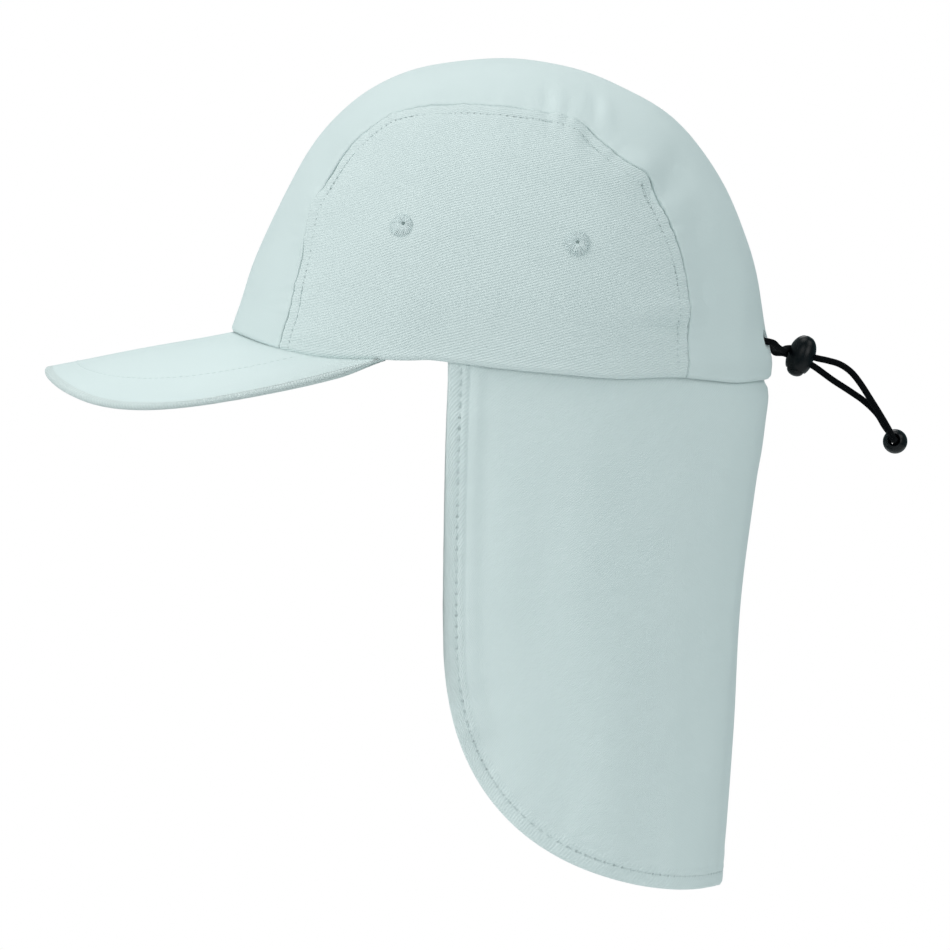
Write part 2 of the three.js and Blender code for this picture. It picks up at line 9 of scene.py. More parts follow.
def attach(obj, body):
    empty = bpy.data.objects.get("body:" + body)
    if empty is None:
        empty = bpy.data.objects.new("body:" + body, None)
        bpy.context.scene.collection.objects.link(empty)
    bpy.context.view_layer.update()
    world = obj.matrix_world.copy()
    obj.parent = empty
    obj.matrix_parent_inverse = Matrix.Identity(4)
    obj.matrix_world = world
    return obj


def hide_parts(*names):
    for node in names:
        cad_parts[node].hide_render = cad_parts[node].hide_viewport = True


# Legionnaire cap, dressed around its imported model. Lengths in the dictionaries are in
# millimetres and are turned into metres when a mesh is made. The spacings of threads and ribs
# in the looks, and all lengths of the studio, are in metres.
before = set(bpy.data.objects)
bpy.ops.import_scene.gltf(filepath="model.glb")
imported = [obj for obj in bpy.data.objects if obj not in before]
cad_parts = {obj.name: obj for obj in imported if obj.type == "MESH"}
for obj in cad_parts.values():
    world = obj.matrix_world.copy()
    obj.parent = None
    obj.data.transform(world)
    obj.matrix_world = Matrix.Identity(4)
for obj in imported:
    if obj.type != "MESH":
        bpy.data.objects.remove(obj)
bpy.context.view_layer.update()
mm = 0.001
print("frame loaded")


def addObject(name, data):
    made = bpy.data.objects.new(name, data)
    bpy.context.scene.collection.objects.link(made)
    return made


def towards(place, aim):
    return (Vector(aim) - Vector(place)).to_track_quat("-Z", "Y").to_euler()


# camera
view = {"place": (-10.6, -2000.0, 3.0), "aim": (-10.6, 0.0, -40.0), "lens": 200.8, "sensor": 36.0}

cameraData = bpy.data.cameras.new("capCamera")
cameraData.lens = view["lens"]
cameraData.sensor_width = view["sensor"]
cameraData.clip_end = 20.0
camera = addObject("capCamera", cameraData)
camera.location = [v * mm for v in view["place"]]
camera.rotation_euler = towards(view["place"], view["aim"])
bpy.context.scene.camera = camera


# small helpers for shapes

def smoothTable(table, place, column=1):
    rows = np.array(table, float)
    by, value = rows[:, 0], rows[:, column]
    slope = np.gradient(value, by)
    slope[1:-1] = (value[2:] - value[:-2]) / (by[2:] - by[:-2])
    place = np.asarray(place, float)
    row = np.clip(np.searchsorted(by, place) - 1, 0, len(by) - 2)
    span = by[row + 1] - by[row]
    t = np.clip((place - by[row]) / span, 0, 1)
    mixed = value[row] + (value[row + 1] - value[row]) * t * t * (3 - 2 * t)
    return mixed + slope[row] * span * t * (1 - t) ** 2 - slope[row + 1] * span * t * t * (1 - t)


def edgeOf(start, stop, holds, shape=()):
    yes = np.zeros(shape) + start
    no = np.zeros(shape) + stop
    for _ in range(44):
        middle = (yes + no) / 2
        inside = holds(middle)
        yes = np.where(inside, middle, yes)
        no = np.where(inside, no, middle)
    return (yes + no) / 2


def smoothStep(value, low, high):
    t = np.clip((value - low) / (high - low), 0, 1)
    return t * t * (3 - 2 * t)


def bump(value, centre, width):
    return np.exp(-(((value - centre) / width) ** 2))


def crowded(count, ends=0.35):
    # shares from 0 to 1 that lie closer together towards both ends
    t = np.linspace(-1, 1, count + 1)
    return (ends * t + (1 - ends) * np.sin(t * math.pi / 2)) / 2 + 0.5


def softNoise(points, size, seed):
    # a smooth unevenness from -1 to 1, the same on every run
    rng = np.random.default_rng(seed)
    total = 0
    for _ in range(6):
        heading = rng.normal(size=points.shape[-1])
        heading /= np.linalg.norm(heading)
        pace = 2 * math.pi / (size * rng.uniform(0.7, 1.6))
        total = total + np.sin(points @ heading * pace + rng.uniform(0, 6.28))
    return total / 3.2


def unit(vectors):
    return vectors / np.maximum(np.linalg.norm(vectors, axis=-1, keepdims=True), 1e-9)


def reached(points):
    steps = np.linalg.norm(np.diff(points, axis=0), axis=-1)
    return np.concatenate([np.zeros((1,) + steps.shape[1:]), np.cumsum(steps, axis=0)])


def atShares(points, shares):
    length = reached(points)
    return np.stack([np.interp(shares * length[-1], length, points[:, i])
                     for i in range(points.shape[1])], -1)


def nearestOn(line, points):
    # distance to a line of points, and how far along it the nearest one lies
    tree = kdtree.KDTree(len(line))
    for index, place in enumerate(line):
        tree.insert(place, index)
    tree.balance()
    length = reached(line)
    found = [tree.find(p)[1:] for p in points.reshape(-1, 3)]
    distance = np.array([f[1] for f in found]).reshape(points.shape[:-1])
    place = length[np.array([f[0] for f in found])].reshape(points.shape[:-1])
    return distance, place


def gridNormals(points):
    across = np.gradient(points, axis=1)
    down = np.gradient(points, axis=0)
    return unit(np.cross(across, down))


def finishMesh(name, points, faces, body="cap", uvs=None, mats=(), matIndex=None):
    mesh = bpy.data.meshes.new(name)
    mesh.from_pydata((np.asarray(points) * mm).tolist(), [],
                     faces.tolist() if hasattr(faces, "tolist") else faces)
    for layer, coordinates in (uvs or {}).items():
        uv = mesh.uv_layers.new(name=layer)
        corners = np.zeros(len(mesh.loops), np.int32)
        mesh.loops.foreach_get("vertex_index", corners)
        places = np.asarray(coordinates)[corners] * mm
        uv.data.foreach_set("uv", places.astype(np.float32).ravel())
    for material in mats:
        mesh.materials.append(material)
    if matIndex is not None:
        mesh.polygons.foreach_set("material_index", np.asarray(matIndex, np.int32))
    mesh.polygons.foreach_set("use_smooth", np.ones(len(mesh.polygons), bool))
    mesh.validate()
    mesh.update()
    piece = addObject(name, mesh)
    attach(piece, body)
    return piece


def gridFaces(rows, columns, start=0, turned=False):
    index = start + np.arange(rows * columns).reshape(rows, columns)
    quads = np.stack([index[:-1, :-1], index[:-1, 1:], index[1:, 1:], index[1:, :-1]],
                     -1).reshape(-1, 4)
    return quads[:, ::-1] if turned else quads


def clothWalls(outer, inner):
    # both faces of a cloth and the narrow edge between them
    rows, columns = outer.shape[:2]
    count = rows * columns
    index = np.arange(count).reshape(rows, columns)
    ring = np.concatenate([index[0, :-1], index[:-1, -1], index[-1, :0:-1], index[:0:-1, 0]])
    after = np.roll(ring, -1)
    edge = np.stack([ring, ring + count, after + count, after], -1)
    faces = np.concatenate([gridFaces(rows, columns), gridFaces(rows, columns, count, True), edge])
    return np.concatenate([outer.reshape(-1, 3), inner.reshape(-1, 3)]), faces


def outward(points, faces):
    # turns the faces of a closed form so that they look out
    a, b, c = (points[faces[:, i]] for i in range(3))
    volume = np.einsum("ij,ij->i", a, np.cross(b, c)).sum()
    c2 = points[faces[:, 3]] if faces.shape[1] == 4 else c
    volume += np.einsum("ij,ij->i", a, np.cross(c, c2)).sum()
    return faces[:, ::-1] if volume < 0 else faces


def facingOut(points, faces):
    # for a form with holes: turns its faces so that one of them looks away from the origin
    a, b, c = (points[faces[9, i]] for i in range(3))
    return faces if np.dot(np.cross(b - a, c - a), a) > 0 else faces[:, ::-1]


def acrossOf(grid):
    # how far along its row each point of a grid lies
    return reached(np.swapaxes(grid, 0, 1)).T


def bothFaces(u, v):
    uv = np.stack([u, v], -1).reshape(-1, 2)
    return np.concatenate([uv, uv])


def tube(path, radius, sides):
    # a round tube along a path; radius may change along it
    path = np.asarray(path, float)
    ahead = unit(np.gradient(path, axis=0))
    side = np.zeros_like(path)
    start = np.cross(ahead[0], (0, 0, 1.0))
    if np.linalg.norm(start) < 0.1:
        start = np.cross(ahead[0], (0, 1.0, 0))
    side[0] = start / np.linalg.norm(start)
    for i in range(1, len(path)):
        kept = side[i - 1] - ahead[i] * (side[i - 1] @ ahead[i])
        side[i] = kept / np.linalg.norm(kept)
    other = np.cross(ahead, side)
    turn = np.linspace(0, 2 * math.pi, sides, endpoint=False)
    radius = np.broadcast_to(radius, (len(path),))
    rings = path[:, None] + radius[:, None, None] * (
        side[:, None] * np.cos(turn)[None, :, None] + other[:, None] * np.sin(turn)[None, :, None])
    index = np.arange(len(path) * sides).reshape(len(path), sides)
    after = np.roll(index, -1, axis=1)
    quads = np.stack([index[:-1], after[:-1], after[1:], index[1:]], -1).reshape(-1, 4)
    uv = np.stack([np.broadcast_to(np.arange(sides) / sides, index.shape),
                   np.broadcast_to(reached(path)[:, None], index.shape)], -1).reshape(-1, 2)
    return rings.reshape(-1, 3), quads, uv


class Joined:
    # collects many small forms into one mesh
    def __init__(self):
        self.points, self.faces, self.uvs, self.count = [], [], [], 0

    def add(self, points, faces, uvs=None):
        self.points.append(points)
        self.faces.extend((np.asarray(faces) + self.count).tolist())
        self.uvs.append(np.zeros((len(points), 2)) if uvs is None else uvs)
        self.count += len(points)

    def make(self, name, mats, body="cap"):
        return finishMesh(name, np.concatenate(self.points), self.faces, body,
                          {"clothUV": np.concatenate(self.uvs)}, mats)


def stitchRow(joined, line, normals, stitch):
    # short threads that come up, lie on the cloth and go down again
    total = reached(line)[-1]
    count = max(2, int(total / stitch["pitch"]))
    shape = np.array([-0.5, -0.46, -0.3, 0, 0.3, 0.46, 0.5])
    height = np.array([-1.3, -0.2, 0.55, 0.8, 0.55, -0.2, -1.3]) * stitch["radius"]
    thick = np.array([0.6, 0.85, 1, 1, 1, 0.85, 0.6]) * stitch["radius"]
    length = reached(line)
    for k in range(count):
        at = (k + 0.5 + 0.07 * math.sin(k * 12.9898)) * total / count
        where = at + shape * stitch["length"]
        place = np.stack([np.interp(where, length, line[:, i]) for i in range(3)], -1)
        up = unit(np.stack([np.interp(where, length, normals[:, i]) for i in range(3)], -1))
        joined.add(*tube(place + up * height[:, None], thick, 6))


def lathe(profile, sides):
    profile = np.asarray(profile, float)
    turn = np.linspace(0, 2 * math.pi, sides, endpoint=False)
    rings = np.stack([profile[:, None, 0] * np.cos(turn), profile[:, None, 0] * np.sin(turn),
                      np.broadcast_to(profile[:, None, 1], (len(profile), sides))], -1)
    index = np.arange(len(profile) * sides).reshape(len(profile), sides)
    after = np.roll(index, -1, axis=1)
    quads = np.stack([index[:-1], after[:-1], after[1:], index[1:]], -1).reshape(-1, 4)
    return rings.reshape(-1, 3), quads


# shader groups

def newGroup(name, inputs, outputs):
    group = bpy.data.node_groups.new(name, "ShaderNodeTree")
    for label, kind, value in inputs:
        socket = group.interface.new_socket(name=label, in_out="INPUT", socket_type=kind)
        if value is not None:
            socket.default_value = value
    for label, kind in outputs:
        group.interface.new_socket(name=label, in_out="OUTPUT", socket_type=kind)
    given, result = group.nodes.new("NodeGroupInput"), group.nodes.new("NodeGroupOutput")
    return group, given.outputs, result.inputs


def plug(tree, source, target):
    tree.links.new(source, target)


def give(tree, socket, value):
    if isinstance(value, bpy.types.NodeSocket):
        plug(tree, value, socket)
    else:
        socket.default_value = value


def calc(tree, operation, *values):
    node = tree.nodes.new("ShaderNodeMath")
    node.operation = operation
    for index, value in enumerate(values):
        give(tree, node.inputs[index], value)
    return node.outputs[0]


def blendOf(tree, factor, first, second):
    # a colour between two others, each a socket or plain numbers
    node = tree.nodes.new("ShaderNodeMix")
    node.data_type = "RGBA"
    for label, value in (("Factor", factor), ("A", first), ("B", second)):
        give(tree, node.inputs[label], value)
    return node.outputs["Result"]


def addRelief(tree, shader, height, distance):
    bumped = tree.nodes.new("ShaderNodeBump")
    bumped.inputs["Distance"].default_value = distance
    plug(tree, height, bumped.inputs["Height"])
    plug(tree, bumped.outputs[0], shader.inputs["Normal"])


def noiseIn(tree, vector, scale, detail=2.0, roughness=0.5):
    node = tree.nodes.new("ShaderNodeTexNoise")
    node.inputs["Scale"].default_value = scale
    node.inputs["Detail"].default_value = detail
    node.inputs["Roughness"].default_value = roughness
    plug(tree, vector, node.inputs["Vector"])
    return node.outputs["Fac"]


def buildTwillWeave():
    group, given, result = newGroup("twillWeave", [
        ("Vector", "NodeSocketVector", None), ("Rib Spacing", "NodeSocketFloat", 0.0014),
        ("Rib Angle", "NodeSocketFloat", 0.2), ("Thread Spacing", "NodeSocketFloat", 0.0008),
        ("Irregularity", "NodeSocketFloat", 0.5)],
        [("Height", "NodeSocketFloat"), ("Fleck", "NodeSocketFloat")])
    turned = group.nodes.new("ShaderNodeVectorRotate")
    turned.rotation_type = "Z_AXIS"
    plug(group, given["Vector"], turned.inputs["Vector"])
    plug(group, given["Rib Angle"], turned.inputs["Angle"])
    split = group.nodes.new("ShaderNodeSeparateXYZ")
    plug(group, turned.outputs[0], split.inputs[0])
    wander = calc(group, "SUBTRACT", noiseIn(group, given["Vector"], 170.0, 3.0), 0.5)
    wander = calc(group, "MULTIPLY", wander, given["Irregularity"])
    phase = calc(group, "DIVIDE", split.outputs["Y"], given["Rib Spacing"])
    phase = calc(group, "ADD", phase, calc(group, "MULTIPLY", wander, 2.4))
    rib = calc(group, "COSINE", calc(group, "MULTIPLY", phase, 2 * math.pi))
    rib = calc(group, "MULTIPLY_ADD", rib, 0.5, 0.5)
    rank = calc(group, "FLOOR", phase)
    step = calc(group, "DIVIDE", split.outputs["X"], given["Thread Spacing"])
    step = calc(group, "MULTIPLY_ADD", rank, 0.37, step)
    thread = calc(group, "SINE", calc(group, "MULTIPLY", step, 2 * math.pi))
    thread = calc(group, "MULTIPLY_ADD", thread, 0.5, 0.5)
    fleck = noiseIn(group, given["Vector"], 900.0, 2.0)
    uneven = calc(group, "MULTIPLY_ADD", fleck, 0.4, 0.75)
    height = calc(group, "MULTIPLY", rib, calc(group, "MULTIPLY_ADD", thread, 0.3, 0.7))
    height = calc(group, "MULTIPLY", height, uneven)
    plug(group, height, result["Height"])
    plug(group, fleck, result["Fleck"])
    return group


def buildFineWeave():
    group, given, result = newGroup("fineWeave", [
        ("Vector", "NodeSocketVector", None), ("Thread Spacing", "NodeSocketFloat", 0.0005)],
        [("Height", "NodeSocketFloat")])
    split = group.nodes.new("ShaderNodeSeparateXYZ")
    plug(group, given["Vector"], split.inputs[0])
    waves = []
    for axis in ("X", "Y"):
        step = calc(group, "DIVIDE", split.outputs[axis], given["Thread Spacing"])
        waves.append(calc(group, "SINE", calc(group, "MULTIPLY", step, 2 * math.pi)))
    cross = calc(group, "MULTIPLY_ADD", calc(group, "MULTIPLY", *waves), 0.35, 0.5)
    slub = noiseIn(group, given["Vector"], 700.0, 3.0, 0.6)
    plug(group, calc(group, "MULTIPLY_ADD", slub, 0.8, cross), result["Height"])
    return group


def buildClothTone():
    group, given, result = newGroup("clothTone", [
        ("Vector", "NodeSocketVector", None), ("Pale", "NodeSocketColor", (1, 1, 1, 1)),
        ("Deep", "NodeSocketColor", (0.8, 0.8, 0.8, 1)), ("Relief", "NodeSocketFloat", 0.5)],
        [("Color", "NodeSocketColor")])
    broad = noiseIn(group, given["Vector"], 30.0, 2.0)
    fine = noiseIn(group, given["Vector"], 1500.0, 1.0)
    amount = calc(group, "MULTIPLY_ADD", broad, 0.35, 0.02)
    amount = calc(group, "MULTIPLY_ADD", fine, 0.25, amount)
    # the low places of the relief are painted towards the deep colour: painted shade in the
    # valleys of the weave, on top of the random tone
    amount = calc(group, "SUBTRACT", amount, calc(group, "MULTIPLY", given["Relief"], 0.3))
    plug(group, blendOf(group, amount, given["Pale"], given["Deep"]), result["Color"])
    return group


def buildStitchHoles():
    # needle holes and the pressed line of a row of stitches, from how far along and off a seam
    group, given, result = newGroup("stitchHoles", [
        ("Vector", "NodeSocketVector", None), ("Row Distance", "NodeSocketFloat", 0.005),
        ("Pitch", "NodeSocketFloat", 0.0024), ("Hole Size", "NodeSocketFloat", 0.00045)],
        [("Holes", "NodeSocketFloat"), ("Groove", "NodeSocketFloat")])
    split = group.nodes.new("ShaderNodeSeparateXYZ")
    plug(group, given["Vector"], split.inputs[0])
    off = calc(group, "SUBTRACT", split.outputs["Y"], given["Row Distance"])
    step = calc(group, "DIVIDE", split.outputs["X"], given["Pitch"])
    near = calc(group, "SUBTRACT", calc(group, "FRACT", step), 0.5)
    near = calc(group, "MULTIPLY", near, given["Pitch"])
    gap = calc(group, "MULTIPLY_ADD", near, near, calc(group, "MULTIPLY", off, off))
    gap = calc(group, "SQRT", gap)
    hole = calc(group, "DIVIDE", gap, given["Hole Size"])
    hole = calc(group, "SUBTRACT", 1.0, calc(group, "MINIMUM", hole, 1.0))
    groove = calc(group, "DIVIDE", calc(group, "ABSOLUTE", off),
                  calc(group, "MULTIPLY", given["Hole Size"], 2.2))
    groove = calc(group, "SUBTRACT", 1.0, calc(group, "MINIMUM", groove, 1.0))
    fade = noiseIn(group, given["Vector"], 55.0, 2.0)
    fade = calc(group, "MINIMUM",
                calc(group, "MAXIMUM", calc(group, "MULTIPLY_ADD", fade, 4.0, -1.3), 0.0), 1.0)
    hole = calc(group, "MULTIPLY", hole, fade)
    groove = calc(group, "MULTIPLY", groove, calc(group, "MULTIPLY_ADD", fade, 0.6, 0.4))
    plug(group, hole, result["Holes"])
    plug(group, groove, result["Groove"])
    return group


twillWeave = buildTwillWeave()
fineWeave = buildFineWeave()
clothTone = buildClothTone()
stitchHoles = buildStitchHoles()


def newMaterial(name, roughness, sheen=0.0):
    material = bpy.data.materials.new(name)
    material.use_nodes = True
    tree = material.node_tree
    shader = tree.nodes["Principled BSDF"]
    shader.inputs["Roughness"].default_value = roughness
    shader.inputs["Sheen Weight"].default_value = sheen
    shader.inputs["Sheen Roughness"].default_value = 0.45
    return material, tree, shader


def useGroup(tree, group, vector, **values):
    node = tree.nodes.new("ShaderNodeGroup")
    node.node_tree = group
    plug(tree, vector, node.inputs["Vector"])
    for label, value in values.items():
        give(tree, node.inputs[label.replace("_", " ")], value)
    return node


def uvOf(tree, layer):
    node = tree.nodes.new("ShaderNodeUVMap")
    node.uv_map = layer
    return node.outputs[0]


# pale and deep are the two ends of the cloth's tone; hole is painted shade, the dark inside of a
# needle hole
clothColours = {"pale": (0.73, 0.81, 0.80, 1), "deep": (0.62, 0.71, 0.70, 1),
                "hole": (0.16, 0.21, 0.215, 1)}


def clothMaterial(name, look):
    material, tree, shader = newMaterial(name, look.get("roughness", 0.88),
                                         look.get("sheen", 0.12))
    shader.inputs["Specular IOR Level"].default_value = 0.25
    cloth = uvOf(tree, "clothUV")
    fine = useGroup(tree, fineWeave, cloth, Thread_Spacing=look["thread"])
    relief = calc(tree, "MULTIPLY", fine.outputs["Height"], look["threadDepth"])
    ribs = None
    if "ribSpacing" in look:
        ribs = useGroup(tree, twillWeave, cloth, Rib_Spacing=look["ribSpacing"],
                        Rib_Angle=math.radians(look["ribAngle"]), Thread_Spacing=look["ribThread"],
                        Irregularity=look["ribWander"])
        relief = calc(tree, "ADD", relief,
                      calc(tree, "MULTIPLY", ribs.outputs["Height"], look["ribDepth"]))
    # the rib height also darkens the colour in the rib valleys: painted shade
    tone = useGroup(tree, clothTone, cloth, Pale=look.get("pale", clothColours["pale"]),
                    Deep=look.get("deep", clothColours["deep"]),
                    Relief=ribs.outputs["Height"] if ribs else fine.outputs["Height"])
    colour = tone.outputs["Color"]
    if "stitchRow" in look:
        holes = useGroup(tree, stitchHoles, uvOf(tree, "seamUV"),
                         Row_Distance=look["stitchRow"] * mm,
                         Pitch=look["stitchPitch"] * mm, Hole_Size=look["holeSize"] * mm)
        # the needle holes are painted dark: painted shade inside each hole, over the pressed
        # relief
        holeShadeMix = calc(tree, "MULTIPLY", holes.outputs["Holes"], look["holeShade"])
        colour = blendOf(tree, holeShadeMix, colour, clothColours["hole"])
        groove = calc(tree, "MULTIPLY", holes.outputs["Groove"], 0.35)
        pressed = calc(tree, "MULTIPLY_ADD", holes.outputs["Holes"], 0.8, groove)
        relief = calc(tree, "SUBTRACT", relief, calc(tree, "MULTIPLY", pressed, look["holeDepth"]))
    plug(tree, colour, shader.inputs["Base Color"])
    addRelief(tree, shader, relief, mm)
    return material


# crown
crown = {"length": 203.0, "width": 164.0, "height": 117.3, "wall": 1.6, "sideFullness": 2.5,
         "acrossFullness": 2.0, "seamGap": 0.3, "seamSlit": 0.13, "rimFade": 24.0}
crownProfile = [(-90, 1), (-14, .987), (-2, .991), (1, .998), (4, .991), (8, .981), (17, .99),
                (30, 1.005), (51, 1.023), (65, 1.007), (80, .998), (91, .999), (103, 1.007),
                (118, 1.025), (128, 1.02), (136, 1.005), (142, .992), (149, .982), (155, .979),
                (161, .986), (167, .997), (173, 1.016), (185, 1.02), (270, 1)]
seamLine = [(-12, .8), (2, .795), (17, .758), (39, .717), (44.6, .7), (48.4, .68), (55, .693),
            (64, .663), (69, .628), (90, .618), (103, .584), (118, .524), (143, .54), (152, .594),
            (161, .629), (168, .653), (185, .64)]
rimLine = [(-.46, .0295), (-.3, .0325), (-.2, .022), (0, .0008), (.2, -.0156), (.4, -.0295),
           (.62, -.0255), (.74, -.0345), (.85, -.043), (.94, -.0365), (1.02, -.028)]
peak = {"length": 70.9, "width": 166.0, "corner": 77.4, "rounding": 2.5, "archRadius": 141.0,
        "straight": 60.0, "slope": 10.6, "rise": 14.2, "reachBack": 55.5, "cloth": 0.7,
        "edgeRoll": 1.15, "edgeBand": 1.6, "stitchInset": 20.0}
halfLength, halfWidth = crown["length"] / 2, crown["width"] / 2
peakFall = math.tan(math.radians(peak["slope"]))


def crownFace(turn, y):
    across = np.minimum(1, np.abs(y) / halfWidth) ** crown["acrossFullness"]
    reach = smoothTable(crownProfile, turn) * (1 - across) ** (1 / crown["sideFullness"])
    return np.stack([halfLength * reach * np.cos(np.radians(turn)), y + 0 * reach,
                     crown["height"] * reach * np.sin(np.radians(turn))], -1)


def outlineShare(x, z):
    angle = np.degrees(np.arctan2(z / crown["height"], x / halfLength))
    turn = np.where(angle < -90, angle + 360, angle)
    return np.hypot(x / halfLength, z / crown["height"]) / smoothTable(crownProfile, turn)


def crownSpread(x, z):
    share = np.minimum(1, outlineShare(x, z))
    return halfWidth * (1 - share ** crown["sideFullness"]) ** (1 / crown["acrossFullness"])


def crownLevel(x, y, z):
    across = np.abs(y / halfWidth) ** crown["acrossFullness"]
    return outlineShare(x, z) ** crown["sideFullness"] + across


def crownNormal(points):
    slopes = []
    for step in 0.05 * np.eye(3):
        ahead, behind = np.moveaxis(points + step, -1, 0), np.moveaxis(points - step, -1, 0)
        slopes.append(crownLevel(*ahead) - crownLevel(*behind))
    return unit(np.stack(slopes, -1))


def levelNormal(points):
    return unit(crownNormal(points) * (1, 1, 0))


def crownAt(angle, heightAt):
    c, s = np.cos(np.radians(angle)), np.sin(np.radians(angle))

    def within(r):
        return crownLevel(r * c, r * s, heightAt(r * c, r * s)) < 1

    r = edgeOf(0, crown["length"], within, np.shape(angle))
    return np.stack([r * c, r * s, heightAt(r * c, r * s) + 0 * r], -1)


def crownRing(angle, height):
    return crownAt(angle, lambda x, y: height + 0 * x)


def peakFace(x, y):
    bend = np.minimum(np.abs(y), peak["straight"])
    depth = np.sqrt(peak["archRadius"] ** 2 - bend ** 2)
    arch = peak["archRadius"] - depth + (bend / depth) * (np.abs(y) - bend)
    return peak["rise"] + peakFall * (x + halfLength) - arch


def peakNormal(y):
    bend = np.clip(y, -peak["straight"], peak["straight"])
    fall = bend / np.sqrt(peak["archRadius"] ** 2 - bend ** 2)
    return unit(np.stack([-peakFall + 0 * fall, fall, 1 + 0 * fall], -1))


peakEndX = peak["reachBack"] - halfLength
peakEndY = float(edgeOf(0, halfWidth,
                        lambda y: crownLevel(peakEndX, y, peakFace(peakEndX, y)) < 1))


def sideRim(x):
    return crown["height"] * smoothTable(rimLine, x / halfLength)


def rimHeight(x, y):
    step = peakFace(peakEndX, y) + crown["seamGap"] - sideRim(peakEndX)
    behind = sideRim(x) + step * (1 - smoothStep(x, peakEndX, peakEndX + crown["rimFade"]))
    return np.where(x <= peakEndX, peakFace(x, y) + crown["seamGap"], behind)


def crownLine(share, shift, rows):
    # points from the front rim over the top to the rear rim, for each share of the seam's spread
    def line(turn):
        return crownFace(turn, share * (halfWidth * smoothTable(seamLine, turn) + shift))

    def above(turn):
        p = line(turn)
        return p[..., 2] > rimHeight(p[..., 0], p[..., 1])

    front = edgeOf(90, 200, above, np.shape(share))
    rear = edgeOf(90, -20, above, np.shape(share))
    return line(front + (rear - front) * rows[:, None])


def seamPoints(rows, shift=0):
    return crownLine(np.array([1.0]), shift, rows)[:, 0]


def insideOf(points, rims):
    # one wall inside the outer face; along a rim it keeps the rim's own height
    within = points - crownNormal(points) * crown["wall"]
    for row in rims:
        flat = points[row] - levelNormal(points[row]) * crown["wall"]
        flat[..., 2] = rimHeight(flat[..., 0], flat[..., 1])
        within[row] = flat
    return within


stitch = {"pitch": 2.4, "length": 1.75, "radius": 0.13}
# dents and swells of the side cloth: along, up, half length, half height and depth
dents = [(16, 97, 2, 7, -.8), (20.5, 97, 2.6, 8, .6), (34, 97, 2, 6, -.8), (38, 96, 3, 6, .5),
         (31.5, 87, 3, 7, -.6), (26, 88, 3.5, 8, .4), (50, 75, 6, 5, 1), (59, 66, 4, 6, -1.2),
         (65, 73, 6, 9, -1.6), (62, 16, 10, 2, -.8), (62, 22, 12, 4, .5), (-60, 35, 14, 9, .5),
         (77, 28, 6, 18, -1.8), (88, 20, 4, 18, .9), (72, 50, 5, 14, -1.4), (-72, 58, 5, 16, .9),
         (-79, 40, 6, 14, -.9), (-66, 78, 5, 10, -.8), (20, 112, 14, 5, -.4),
         (-35, 104, 16, 5, .4)]
puckers = {"depth": 0.26, "size": 8.0, "reach": 6.5}
seams = {"samples": 1400, "faint": 0.4, "faintTo": -45.0, "fullFrom": 25.0, "rowInset": 5.0}


def dented(points):
    total = 0
    for x, z, wide, tall, depth in dents:
        along, up = (points[..., 0] - x) / wide, (points[..., 2] - z) / tall
        total = total + depth * np.exp(-(along ** 2) - up ** 2)
    return total


def pressedAt(points):
    # how deep a seam lies: fainter towards the front
    full = smoothStep(points[..., 0], seams["faintTo"], seams["fullFrom"])
    return seams["faint"] + (1 - seams["faint"]) * full


def seamRelief(distance, along, seed):
    line = np.stack([along, along * 0.37], -1)
    wave = softNoise(line, puckers["size"], seed)
    wave = wave + 0.6 * softNoise(line, puckers["size"] * 0.45, seed + 1)
    return puckers["depth"] * wave * np.exp(-distance / puckers["reach"])


centreLook = {"thread": 0.00052, "threadDepth": 0.035, "ribSpacing": 0.00075, "ribAngle": 62,
              "ribThread": 0.0011, "ribDepth": 0.08, "ribWander": 0.5}
sideLook = {"thread": 0.0005, "threadDepth": 0.03, "ribSpacing": 0.00093, "ribAngle": -20,
            "ribThread": 0.0016, "ribDepth": 0.19, "ribWander": 0.09, "stitchRow": 5.0,
            "stitchPitch": 2.4, "holeSize": 0.5, "holeShade": 0.8, "holeDepth": 0.35}
innerLook = {"thread": 0.0006, "threadDepth": 0.05, "ribSpacing": 0.0011, "ribAngle": 35,
             "ribThread": 0.0015, "ribDepth": 0.05, "ribWander": 0.5}
centreCloth = clothMaterial("centrePanelCotton", centreLook)
sideCloth = clothMaterial("sidePanelTwill", sideLook)
innerCloth = clothMaterial("insideCotton", innerLook)
slits = {"rise": 11.0, "spread": 17.0, "halfWidth": 3.9, "halfHeight": 3.7, "cutDepth": 4.0}


def slitFrame(side):
    x = float(edgeOf(0, crown["length"],
                     lambda x: crownLevel(x, slits["spread"], slits["rise"]) < 1))
    point = np.array([x, side * slits["spread"], slits["rise"]])
    normal = levelNormal(point)
    return point, normal, np.array([-normal[1], normal[0], 0])


